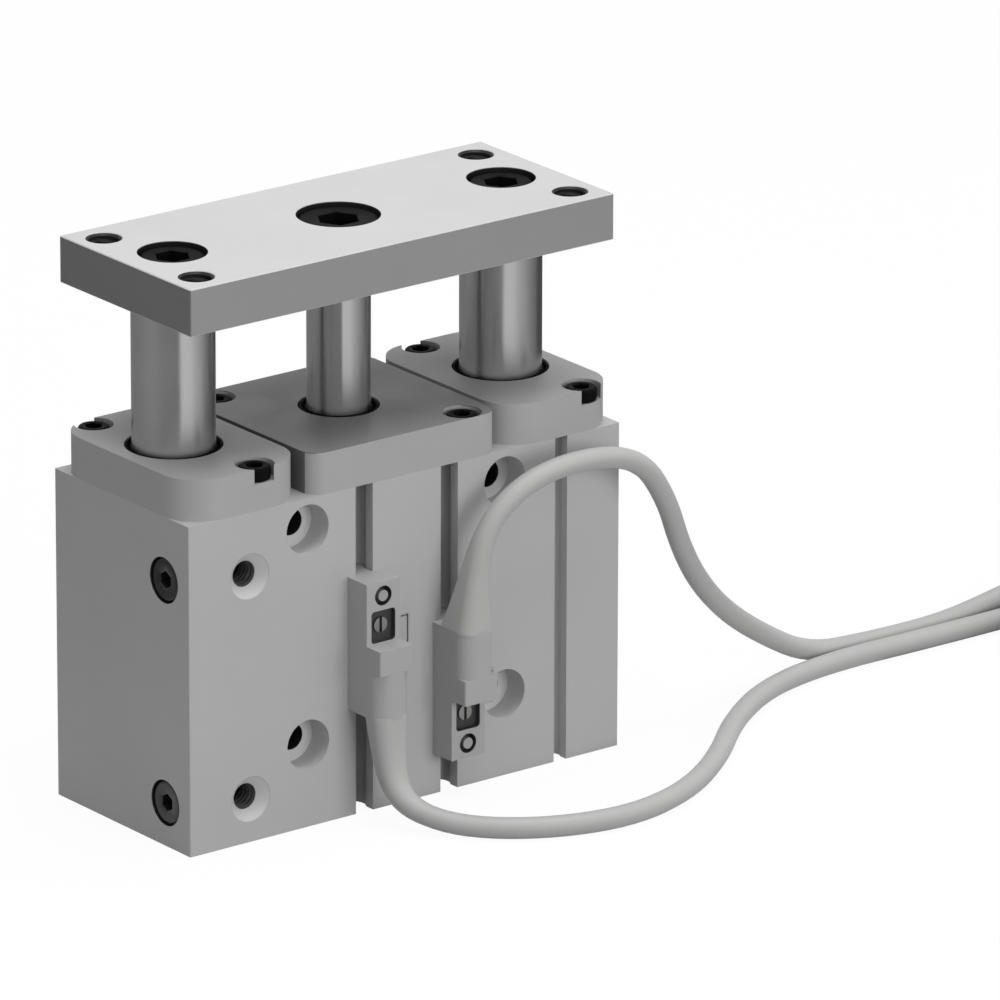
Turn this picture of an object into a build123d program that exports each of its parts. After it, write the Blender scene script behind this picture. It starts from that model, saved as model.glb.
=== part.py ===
from build123d import *
import math
import os

# Guided pneumatic cylinder, rod extended. Millimetres, +Z up.
# Origin: centre of the body's bottom face, on the piston axis. The front face looks along -Y.

# Body block
body_width = 83.0
body_depth = 35.0
body_edge = 0.2

# Piston and stroke
bore = 20.0
stroke = 20.0
piston_length = 12.8
piston_rod_dia = 10.0
stem_dia = 6.0
spigot_length = 8.9

# Guide rods and their bushes
guide_from_side = 10.0
guide_rod_dia = 13.0
guide_bush_dia = 16.0
guide_bush_length = 11.0
guide_relief = 0.75
guide_rod_floor = 1.0
guide_rod_chamfer = 0.6

# Caps and rod cover on the top face
cap_height = 6.7
cap_inner_reach = 12.5
cap_corner = 6.5
cap_slit = 1.0
cover_corner = 3.0
cover_screw_from_side = 5.0
cover_screw_from_face = 3.1
cap_screw_x = 4.3
cap_screw_from_face = 2.5
wiper_dia = 15.3
wiper_height = 2.8
wiper_edge = 0.4
rod_seal_wall = 1.4
rod_seal_height = 4.2
rod_bush_wall = 1.0
rod_bush_length = 10.1
plate_gap = 3.3

# End plate
plate_inset_x = 1.0
plate_inset_y = 0.5
plate_thickness = 7.5
plate_edge = 0.15
plate_hole_from_end = 4.75
plate_hole_from_face = 5.0
plate_hole_dia = 5.0
plate_hole_mouth = 5.9
plate_hole_angle = 90.0

# Ends of the bore
ring_inset = 1.0
ring_thickness = 1.0
ring_width = 1.9
ring_groove_depth = 0.5
ring_mouth = 5.0
ring_lug = 1.5
ring_lug_hole = 0.6
head_cover_dia = 22.5
head_cover_thickness = 3.6
bumper_thickness = 2.8
bumper_dia = 15.0
bumper_hole = 8.0
bumper_gap = 0.3

# Grooves, seals and rings on the piston and covers
land = 1.0
wear_ring_width = 2.3
wear_ring_depth = 0.85
magnet_width = 3.3
magnet_depth = 2.8
piston_seal_width = 2.4
piston_seal_depth = 2.2
oring_width = 1.8
oring_depth = 1.3
oring_bevel = 0.5
oring_from_end = 2.0
nut_flats = 10.0
nut_height = 3.0
nut_sink = 0.2
piston_play = 0.2
piston_seal_bevel = 0.3

# Mounting holes through the body, from the front
mount_from_guide = 12.5
mount_low_z = 13.5
mount_from_top = 5.0
mount_hole_dia = 4.3
mount_counterbore_dia = 8.0
mount_counterbore_depth = 4.4
bottom_hole_pitch = 35.0
bottom_hole_dia = 4.2
bottom_hole_depth = 9.0

# Air ports
port_from_side = 11.5
side_port_from_front = 6.5
port_tap_dia = 4.2
port_tap_depth = 6.0
port_mouth_dia = 7.4
port_mouth_slope = 45.0
port_drill_dia = 2.5
port_drill_end_x = 7.0
port_drill_end_y = 5.5
plug_flange_dia = 7.0
plug_seat_depth = 1.5
plug_flange_thickness = 1.2
plug_length = 4.5
plug_key = 2.5
plug_key_depth = 2.0

# Sensor grooves in the front face
groove_x = 8.2
groove_mouth = 3.3
groove_round = 4.3
groove_centre_depth = 3.2
third_groove_from_side = 11.5
third_groove_mouth = 2.4
third_groove_round = 2.9
third_groove_centre_depth = 2.3

# Screws: head diameter, head height, thread diameter, key size
cap_screw_head = 5.0
cap_screw_room = 0.6
cap_screw_head_height = 2.2
cap_screw_dia = 3.0
cap_screw_bite = 6.0
cap_screw_key = 2.5
cap_screw_sink = 0.2
guide_screw_head = 10.0
guide_screw_head_height = 3.6
guide_screw_dia = 6.0
guide_screw_bite = 10.0
guide_screw_key = 5.0
rod_screw_head = 12.6
rod_screw_key = 6.0
screw_sink = 0.6
key_share = 0.6
screw_edge = 0.3
guide_screw_room = 0.45
rod_screw_room = 0.3

# Position switches
switch_width = 6.4
switch_length = 21.6
switch_lead_length = 11.6
switch_block_length = 4.0
switch_lead_depth = 8.4
switch_free_depth = 4.9
switch_edge = 0.35
switch_nose = 2.6
switch_low_z = 17.6
second_switch_low_z = 6.8
lug_reach = 3.7
lug_depth = 2.5
lug_start = 9.0
lug_length = 5.6
lug_root = 1.0
lug_slit_width = 0.3
lug_slit_reach = 1.4
lug_slit_depth = 0.6
lug_rim = 0.3
pocket_width = 4.6
pocket_length = 5.2
pocket_depth = 1.0
pocket_round = 0.6
clamp_screw_dia = 2.5
clamp_screw_length = 3.4
clamp_screw_slot = 0.5
clamp_screw_slot_depth = 0.7
lens_dia = 1.8
lens_well_dia = 3.2
lens_height = 1.6

# Leads
lead_dia = 3.4
bend_share = 0.45
lead_exit_depth = 6.4
coil_centre = (143.0, -36.6)
coil_outer_turn = 24.5
coil_turns = 2.3
coil_bevel = 1.0
tie_thickness = 0.5
tie_angle = 9.0
tie_head = 4.0
wire_dia = 1.2
wire_length = 13.0
wire_pitch = 1.4
wire_drop = 15.0
wire_turn = 30.0

# Clearances
running = 0.03
seat = 0.05
screw_clearance = 0.15
moving = 0.3

# Places that follow from the sizes above
side = body_width / 2
front = -body_depth / 2
guide_x = side - guide_from_side
head_cover_z = ring_inset + ring_thickness
head_cover_top = head_cover_z + head_cover_thickness
piston_z = head_cover_top + bumper_thickness + bumper_gap + stroke
piston_top = piston_z + piston_length
spigot_z = piston_top + bumper_gap + bumper_thickness
body_height = spigot_z + spigot_length
rod_bush_dia = piston_rod_dia + 2 * rod_bush_wall
rod_seal_dia = piston_rod_dia + 2 * rod_seal_wall
cap_top = body_height + cap_height
plate_bottom = cap_top + plate_gap + stroke
plate_top = plate_bottom + plate_thickness
plate_length = body_width - 2 * plate_inset_x
plate_depth = body_depth - 2 * plate_inset_y
plate_hole_pitch_x = plate_length - 2 * plate_hole_from_end
plate_hole_pitch_y = plate_depth - 2 * plate_hole_from_face
guide_rod_bottom = guide_rod_floor + stroke
lower_bush_z = guide_rod_bottom + land
upper_bush_z = body_height - guide_bush_length
low_port_z = head_cover_top + bumper_thickness / 2
high_port_z = spigot_z - bumper_thickness / 2
port_levels = (low_port_z, high_port_z)
port_mouth_depth = (port_mouth_dia - port_tap_dia) / 2 / math.tan(math.radians(port_mouth_slope))
port_x = port_from_side - side
side_port_y = front + side_port_from_front
mount_pitch_x = 2 * (guide_x - mount_from_guide)
mount_pitch_z = body_height - mount_from_top - mount_low_z
groove_y = front + groove_centre_depth
third_groove_x = side - third_groove_from_side
cap_inner_x = guide_x - cap_inner_reach
cap_width = side - cap_inner_x
cap_x = cap_inner_x + cap_width / 2
cover_width = 2 * (cap_inner_x - cap_slit)
cap_screw_seat = cap_top - cap_screw_head_height - cap_screw_sink
guide_screw_seat = plate_top - guide_screw_head_height - screw_sink
cover_screw_x = cover_width / 2 - cover_screw_from_side
cover_screw_y = body_depth / 2 - cover_screw_from_face
cap_screw_y = body_depth / 2 - cap_screw_from_face
cap_screw_points = [
    (hand * guide_x + turn * cap_screw_x, -turn * cap_screw_y) for hand in (-1, 1) for turn in (-1, 1)
]
cover_screw_points = [(turn * cover_screw_x, -turn * cover_screw_y) for turn in (-1, 1)]
guide_points = [(-guide_x, 0), (guide_x, 0)]
coil_inner = coil_outer_turn - (coil_turns + 0.5) * lead_dia
coil_outer = coil_outer_turn + lead_dia / 2
coil_entry_y = coil_centre[1] + coil_outer_turn
lead_exit_y = front - lead_exit_depth
floor_z = lead_dia / 2
first_coil_z = tie_thickness
second_coil_z = first_coil_z + lead_dia

os.makedirs("parts", exist_ok=True)


def finish(piece, name):
    """Label a finished piece and write its STEP file."""
    piece.label = name
    export_step(piece, f"parts/{name}.step")


def socket_screw(head, head_height, thread, length, key, sink):
    """Socket screw: its head stands on the XY plane and its thread hangs below."""
    with BuildPart() as screw:
        with BuildSketch():
            Circle(head / 2)
        extrude(amount=head_height)
        chamfer(screw.edges().group_by(Axis.Z)[-1], screw_edge)
        with BuildSketch():
            Circle(thread / 2)
        extrude(amount=-length)
        with BuildSketch(Plane.XY.offset(head_height)):
            RegularPolygon(key / 2, 6, major_radius=False)
        extrude(amount=-sink, mode=Mode.SUBTRACT)
    return screw.part


def lead_tube(name, route):
    """Round lead along straight runs joined by arcs as large as the runs allow."""
    corners = [Vector(*point) for point in route]
    runs = [after - before for before, after in zip(corners, corners[1:])]
    radii = [
        bend_share * min(first.length, second.length) / math.tan(math.radians(first.get_angle(second)) / 2)
        for first, second in zip(runs, runs[1:])
    ]
    print(name, "bend radii", [round(radius, 1) for radius in radii])
    with BuildPart() as lead:
        with BuildLine() as path:
            FilletPolyline(*route, radius=radii)
        with BuildSketch(Plane(origin=corners[0], z_dir=runs[0])):
            Circle(lead_dia / 2)
        sweep(path=path.line)
    length = sum(edge.length for edge in path.line.edges())
    expected = math.pi * lead_dia**2 / 4 * length
    print(name, "length", round(length, 1), "volume ratio", round(lead.part.volume / expected, 4))
    finish(lead.part, name)


def ring(name, inner, outer, bottom, height, centre=(0, 0), bevel=0.0):
    """Plain ring about a vertical axis, with its rim edges bevelled."""
    with BuildPart() as band:
        with BuildSketch(Plane((centre[0], centre[1], bottom))):
            Circle(outer)
            Circle(inner, mode=Mode.SUBTRACT)
        extrude(amount=height)
        if bevel > 0:
            chamfer(band.edges().filter_by(GeomType.CIRCLE), bevel)
    finish(band.part, name)


# Body: an extruded block with its sensor grooves
with BuildPart() as cylinder_body:
    with BuildSketch():
        RectangleRounded(body_width, body_depth, body_edge)
        with Locations((-groove_x, groove_y), (groove_x, groove_y)):
            Circle(groove_round / 2, mode=Mode.SUBTRACT)
            Rectangle(groove_mouth, groove_centre_depth, align=(Align.CENTER, Align.MAX), mode=Mode.SUBTRACT)
        with Locations((third_groove_x, front + third_groove_centre_depth)):
            Circle(third_groove_round / 2, mode=Mode.SUBTRACT)
            Rectangle(
                third_groove_mouth,
                third_groove_centre_depth,
                align=(Align.CENTER, Align.MAX),
                mode=Mode.SUBTRACT,
            )
    extrude(amount=body_height)
    # Bore, seat of the head cover and groove of the retaining ring
    with BuildSketch():
        Circle(bore / 2)
    extrude(amount=body_height, mode=Mode.SUBTRACT)
    with BuildSketch():
        Circle(head_cover_dia / 2)
    extrude(amount=head_cover_top, mode=Mode.SUBTRACT)
    with BuildSketch(Plane.XY.offset(ring_inset)):
        Circle(head_cover_dia / 2 + ring_groove_depth)
    extrude(amount=ring_thickness, mode=Mode.SUBTRACT)
    # Guide holes: bush bore above the shoulder, relief bore below it
    with BuildSketch(Plane.XY.offset(lower_bush_z)):
        with Locations(*guide_points):
            Circle(guide_bush_dia / 2)
    extrude(amount=body_height - lower_bush_z, mode=Mode.SUBTRACT)
    with BuildSketch():
        with Locations(*guide_points):
            Circle(guide_rod_dia / 2 + guide_relief)
    extrude(amount=lower_bush_z, mode=Mode.SUBTRACT)
    # Mounting holes through the body, with room for screw heads in the front
    mount_middle = (0, front, mount_low_z + mount_pitch_z / 2)
    with Locations(Plane(origin=mount_middle, x_dir=(1, 0, 0), z_dir=(0, -1, 0))):
        with GridLocations(mount_pitch_x, mount_pitch_z, 2, 2):
            CounterBoreHole(
                mount_hole_dia / 2,
                mount_counterbore_dia / 2,
                mount_counterbore_depth,
                body_depth,
            )
    # Tapped holes in the bottom face
    with Locations(Plane(origin=(0, 0, 0), z_dir=(0, 0, -1))):
        with GridLocations(bottom_hole_pitch, 0, 2, 1):
            Hole(bottom_hole_dia / 2, bottom_hole_depth)
    # Tapped holes that hold the caps and the rod cover
    with BuildSketch(Plane.XY.offset(body_height)):
        with Locations(*cap_screw_points, *cover_screw_points):
            Circle(cap_screw_dia / 2 + seat)
    extrude(amount=-(cap_screw_bite + land), mode=Mode.SUBTRACT)
    for level in port_levels:
        # Front port, open, with a wide countersink
        with BuildSketch(Plane(origin=(port_x, front, level), z_dir=(0, 1, 0))):
            Circle(port_tap_dia / 2)
        extrude(amount=port_tap_depth, mode=Mode.SUBTRACT)
        with BuildSketch(Plane(origin=(port_x, front, level), z_dir=(0, 1, 0))):
            Circle(port_mouth_dia / 2)
        extrude(amount=port_mouth_depth, taper=port_mouth_slope, mode=Mode.SUBTRACT)
        # Side port, closed by a plug
        with BuildSketch(Plane(origin=(-side, side_port_y, level), z_dir=(1, 0, 0))):
            Circle(port_tap_dia / 2)
        extrude(amount=port_tap_depth, mode=Mode.SUBTRACT)
        with BuildSketch(Plane(origin=(-side, side_port_y, level), z_dir=(1, 0, 0))):
            Circle(port_drill_dia / 2)
        extrude(amount=port_from_side, mode=Mode.SUBTRACT)
        with BuildSketch(Plane(origin=(-side, side_port_y, level), z_dir=(1, 0, 0))):
            Circle(port_mouth_dia / 2)
        extrude(amount=plug_seat_depth, mode=Mode.SUBTRACT)
        # Slanted drilling from the front port into the bore
        drill_start = Vector(port_x, front + port_tap_depth / 2, level)
        drill_end = Vector(-port_drill_end_x, -port_drill_end_y, level)
        with BuildSketch(Plane(origin=drill_start, z_dir=drill_end - drill_start)):
            Circle(port_drill_dia / 2)
        extrude(amount=(drill_end - drill_start).length, mode=Mode.SUBTRACT)
finish(cylinder_body.part, "cylinder_body")

# Caps over the guide bushes
for name, hand in (("left_guide_cap", -1), ("right_guide_cap", 1)):
    with BuildPart() as guide_cap:
        with BuildSketch(Plane.XY.offset(body_height)):
            with Locations((hand * cap_x, 0)):
                RectangleRounded(cap_width, body_depth, cap_corner)
        extrude(amount=cap_height)
        with BuildSketch(Plane.XY.offset(body_height)):
            with Locations((hand * guide_x, 0)):
                Circle(guide_rod_dia / 2 + moving)
        extrude(amount=cap_height, mode=Mode.SUBTRACT)
        with BuildSketch(Plane.XY.offset(cap_top)):
            with Locations((hand * guide_x, 0)):
                Circle(wiper_dia / 2)
        extrude(amount=-(wiper_height + seat), mode=Mode.SUBTRACT)
        own_screws = [point for point in cap_screw_points if point[0] * hand > 0]
        with BuildSketch(Plane.XY.offset(body_height)):
            with Locations(*own_screws):
                Circle(cap_screw_dia / 2 + screw_clearance)
        extrude(amount=cap_height, mode=Mode.SUBTRACT)
        with BuildSketch(Plane.XY.offset(cap_screw_seat)):
            with Locations(*own_screws):
                Circle(cap_screw_head / 2 + cap_screw_room)
        extrude(amount=cap_height, mode=Mode.SUBTRACT)
    finish(guide_cap.part, name)

# Rod cover: the plate between the caps, with a spigot down into the bore
with BuildPart() as rod_cover:
    with BuildSketch(Plane.XY.offset(body_height)):
        RectangleRounded(cover_width, body_depth, cover_corner)
    extrude(amount=cap_height)
    with BuildSketch(Plane.XY.offset(spigot_z)):
        Circle(bore / 2 - seat)
    extrude(amount=body_height - spigot_z)
    with BuildSketch(Plane.XY.offset(spigot_z)):
        Circle(piston_rod_dia / 2 + moving)
    extrude(amount=cap_top - spigot_z, mode=Mode.SUBTRACT)
    with BuildSketch(Plane.XY.offset(spigot_z)):
        Circle(rod_bush_dia / 2)
    extrude(amount=rod_bush_length, mode=Mode.SUBTRACT)
    with BuildSketch(Plane.XY.offset(cap_top)):
        Circle(rod_seal_dia / 2)
    extrude(amount=-(rod_seal_height + seat), mode=Mode.SUBTRACT)
    with BuildSketch(Plane.XY.offset(spigot_z + oring_from_end)):
        Circle(bore / 2)
        Circle(bore / 2 - oring_depth - seat, mode=Mode.SUBTRACT)
    extrude(amount=oring_width + 2 * seat, mode=Mode.SUBTRACT)
    with BuildSketch(Plane.XY.offset(body_height)):
        with Locations(*cover_screw_points):
            Circle(cap_screw_dia / 2 + screw_clearance)
    extrude(amount=cap_height, mode=Mode.SUBTRACT)
    with BuildSketch(Plane.XY.offset(cap_screw_seat)):
        with Locations(*cover_screw_points):
            Circle(cap_screw_head / 2 + cap_screw_room)
    extrude(amount=cap_height, mode=Mode.SUBTRACT)
finish(rod_cover.part, "rod_cover")

# Screws of the caps and the rod cover
cap_screw = socket_screw(
    cap_screw_head,
    cap_screw_head_height,
    cap_screw_dia,
    cap_screw_seat - body_height + cap_screw_bite,
    cap_screw_key,
    cap_screw_head_height * key_share,
)
with BuildPart() as cap_screws:
    with Locations(*[(x, y, cap_screw_seat) for x, y in cap_screw_points + cover_screw_points]):
        add(cap_screw)
finish(cap_screws.part, "cap_screws")

# Guide bushes and rod wipers
for hand_name, x in (("left", -guide_x), ("right", guide_x)):
    for level_name, bottom in (("lower", lower_bush_z), ("upper", upper_bush_z)):
        ring(
            f"{hand_name}_{level_name}_bush",
            guide_rod_dia / 2 + running,
            guide_bush_dia / 2 - running,
            bottom,
            guide_bush_length,
            (x, 0),
        )
    with BuildPart() as rod_wiper:
        with BuildSketch(Plane((x, 0, cap_top - wiper_height - seat))):
            Circle(wiper_dia / 2 - seat)
            Circle(guide_rod_dia / 2 + running, mode=Mode.SUBTRACT)
        extrude(amount=wiper_height)
        chamfer(rod_wiper.edges().group_by(Axis.Z)[-1].sort_by(SortBy.RADIUS)[-1], wiper_edge)
    finish(rod_wiper.part, f"{hand_name}_rod_wiper")

# Bush, seal and ring of the rod cover
ring("rod_bush", piston_rod_dia / 2 + running, rod_bush_dia / 2 - running, spigot_z, rod_bush_length)
ring(
    "rod_seal",
    piston_rod_dia / 2 + running,
    rod_seal_dia / 2 - seat,
    cap_top - rod_seal_height - seat,
    rod_seal_height,
)
ring(
    "rod_cover_oring",
    bore / 2 - oring_depth,
    bore / 2 - running,
    spigot_z + oring_from_end + seat,
    oring_width,
    bevel=oring_bevel,
)
rod_bumper_z = spigot_z - bumper_thickness
ring("rod_bumper", piston_rod_dia / 2 + moving, bumper_dia / 2, rod_bumper_z, bumper_thickness)

# Head cover at the bottom of the bore, held by a retaining ring
with BuildPart() as head_cover:
    with BuildSketch(Plane.XY.offset(head_cover_z)):
        Circle(head_cover_dia / 2 - seat)
    extrude(amount=head_cover_thickness)
    with BuildSketch(Plane.XY.offset(head_cover_z + (head_cover_thickness - oring_width) / 2 - seat)):
        Circle(head_cover_dia / 2)
        Circle(head_cover_dia / 2 - oring_depth - seat, mode=Mode.SUBTRACT)
    extrude(amount=oring_width + 2 * seat, mode=Mode.SUBTRACT)
    with BuildSketch(Plane.XY.offset(head_cover_z)):
        Circle(stem_dia / 2)
    extrude(amount=land, mode=Mode.SUBTRACT)
finish(head_cover.part, "head_cover")
ring(
    "head_cover_oring",
    head_cover_dia / 2 - oring_depth,
    head_cover_dia / 2 - running,
    head_cover_z + (head_cover_thickness - oring_width) / 2,
    oring_width,
    bevel=oring_bevel,
)
ring("head_bumper", bumper_hole / 2, bumper_dia / 2, head_cover_top, bumper_thickness)

ring_outer = head_cover_dia / 2 + ring_groove_depth - seat
ring_inner = ring_outer - ring_width
with BuildPart() as retaining_ring:
    with BuildSketch(Plane.XY.offset(ring_inset)):
        Circle(ring_outer)
        Circle(ring_inner, mode=Mode.SUBTRACT)
        with Locations((0, ring_outer)):
            Rectangle(ring_mouth, 2 * ring_width + ring_outer, mode=Mode.SUBTRACT)
        with Locations(*[(hand * (ring_mouth / 2 + ring_lug), ring_inner - land) for hand in (-1, 1)]):
            Circle(ring_lug)
            Rectangle(2 * ring_lug, 2 * ring_lug, align=(Align.CENTER, Align.MIN))
            Circle(ring_lug_hole, mode=Mode.SUBTRACT)
        Circle(ring_outer, mode=Mode.INTERSECT)
    extrude(amount=ring_thickness)
finish(retaining_ring.part, "retaining_ring")

# Plugs of the side ports
with BuildPart() as port_plugs:
    for level in port_levels:
        seat_x = plug_seat_depth - side
        with BuildSketch(Plane(origin=(seat_x, side_port_y, level), z_dir=(-1, 0, 0))):
            Circle(plug_flange_dia / 2)
        extrude(amount=plug_flange_thickness)
        with BuildSketch(Plane(origin=(seat_x, side_port_y, level), z_dir=(1, 0, 0))):
            Circle(port_tap_dia / 2 - seat)
        extrude(amount=plug_length - plug_flange_thickness)
        flange_x = seat_x - plug_flange_thickness
        with BuildSketch(Plane(origin=(flange_x, side_port_y, level), z_dir=(1, 0, 0))):
            RegularPolygon(plug_key / 2, 6, major_radius=False)
        extrude(amount=plug_key_depth, mode=Mode.SUBTRACT)
finish(port_plugs.part, "port_plugs")

# End plate carried by the three rods
with BuildPart() as end_plate:
    with BuildSketch(Plane.XY.offset(plate_bottom)):
        Rectangle(plate_length, plate_depth)
    extrude(amount=plate_thickness)
    chamfer(end_plate.edges(), plate_edge)
    with BuildSketch(Plane.XY.offset(plate_bottom)):
        with Locations((0, 0), *guide_points):
            Circle(guide_screw_dia / 2 + screw_clearance)
    extrude(amount=plate_thickness, mode=Mode.SUBTRACT)
    with BuildSketch(Plane.XY.offset(guide_screw_seat)):
        with Locations(*guide_points):
            Circle(guide_screw_head / 2 + guide_screw_room)
        Circle(rod_screw_head / 2 + rod_screw_room)
    extrude(amount=plate_thickness, mode=Mode.SUBTRACT)
    with Locations((0, 0, plate_top)):
        with GridLocations(plate_hole_pitch_x, plate_hole_pitch_y, 2, 2):
            CounterSinkHole(plate_hole_dia / 2, plate_hole_mouth / 2, plate_thickness, plate_hole_angle)
finish(end_plate.part, "end_plate")

# Guide rods
for name, x in (("left_guide_rod", -guide_x), ("right_guide_rod", guide_x)):
    with BuildPart() as guide_rod:
        with BuildSketch(Plane((x, 0, guide_rod_bottom))):
            Circle(guide_rod_dia / 2)
        extrude(amount=plate_bottom - guide_rod_bottom)
        chamfer(guide_rod.edges().group_by(Axis.Z)[0], guide_rod_chamfer)
        with BuildSketch(Plane((x, 0, plate_bottom))):
            Circle(guide_screw_dia / 2 + seat)
        extrude(amount=-(guide_screw_bite + land), mode=Mode.SUBTRACT)
    finish(guide_rod.part, name)

# Piston rod with the threaded stem that carries the piston
with BuildPart() as piston_rod:
    with BuildSketch(Plane.XY.offset(piston_top)):
        Circle(piston_rod_dia / 2)
    extrude(amount=plate_bottom - piston_top)
    with BuildSketch(Plane.XY.offset(piston_top)):
        Circle(stem_dia / 2)
    extrude(amount=-piston_length + bumper_gap)
    with BuildSketch(Plane.XY.offset(plate_bottom)):
        Circle(guide_screw_dia / 2 + seat)
    extrude(amount=-(guide_screw_bite + land), mode=Mode.SUBTRACT)
finish(piston_rod.part, "piston_rod")

# Screws that hold the plate to the rods
shank_length = guide_screw_seat - plate_bottom + guide_screw_bite
guide_screw = socket_screw(
    guide_screw_head,
    guide_screw_head_height,
    guide_screw_dia,
    shank_length,
    guide_screw_key,
    guide_screw_head_height * key_share,
)
rod_screw = socket_screw(
    rod_screw_head,
    guide_screw_head_height,
    guide_screw_dia,
    shank_length,
    rod_screw_key,
    guide_screw_head_height * key_share,
)
with BuildPart() as guide_rod_screws:
    with Locations(*[(x, y, guide_screw_seat) for x, y in guide_points]):
        add(guide_screw)
finish(guide_rod_screws.part, "guide_rod_screws")
with BuildPart() as piston_rod_screw:
    with Locations((0, 0, guide_screw_seat)):
        add(rod_screw)
finish(piston_rod_screw.part, "piston_rod_screw")

# Piston with its grooves, from the bottom: wear ring, magnet, seal
piston_radius = bore / 2 - piston_play
nut_recess = nut_height + nut_sink
wear_ring_z = piston_z + land + seat
seal_z = piston_top - land - seat - piston_seal_width
magnet_z = (wear_ring_z + wear_ring_width + seal_z - magnet_width) / 2
with BuildPart() as piston:
    with BuildSketch(Plane.XY.offset(piston_z)):
        Circle(piston_radius)
    extrude(amount=piston_length)
    for bottom, width, depth in (
        (wear_ring_z, wear_ring_width, wear_ring_depth),
        (magnet_z, magnet_width, magnet_depth),
        (seal_z, piston_seal_width, piston_seal_depth),
    ):
        with BuildSketch(Plane.XY.offset(bottom - seat)):
            Circle(bore / 2)
            Circle(piston_radius - depth, mode=Mode.SUBTRACT)
        extrude(amount=width + 2 * seat, mode=Mode.SUBTRACT)
    with BuildSketch(Plane.XY.offset(piston_z)):
        Circle(stem_dia / 2 + seat)
    extrude(amount=piston_length, mode=Mode.SUBTRACT)
    with BuildSketch(Plane.XY.offset(piston_z)):
        Circle(nut_flats / 2 / math.cos(math.pi / 6) + moving)
    extrude(amount=nut_recess, mode=Mode.SUBTRACT)
finish(piston.part, "piston")
ring("wear_ring", piston_radius - wear_ring_depth + seat, bore / 2 - running, wear_ring_z, wear_ring_width)
ring("magnet_ring", piston_radius - magnet_depth + seat, piston_radius - seat, magnet_z, magnet_width)
ring(
    "piston_seal",
    piston_radius - piston_seal_depth + seat,
    bore / 2 - running,
    seal_z,
    piston_seal_width,
    bevel=piston_seal_bevel,
)
with BuildPart() as piston_nut:
    with BuildSketch(Plane.XY.offset(piston_z + nut_recess)):
        RegularPolygon(nut_flats / 2, 6, major_radius=False)
        Circle(stem_dia / 2 + seat, mode=Mode.SUBTRACT)
    extrude(amount=-nut_height)
finish(piston_nut.part, "piston_nut")

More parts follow.
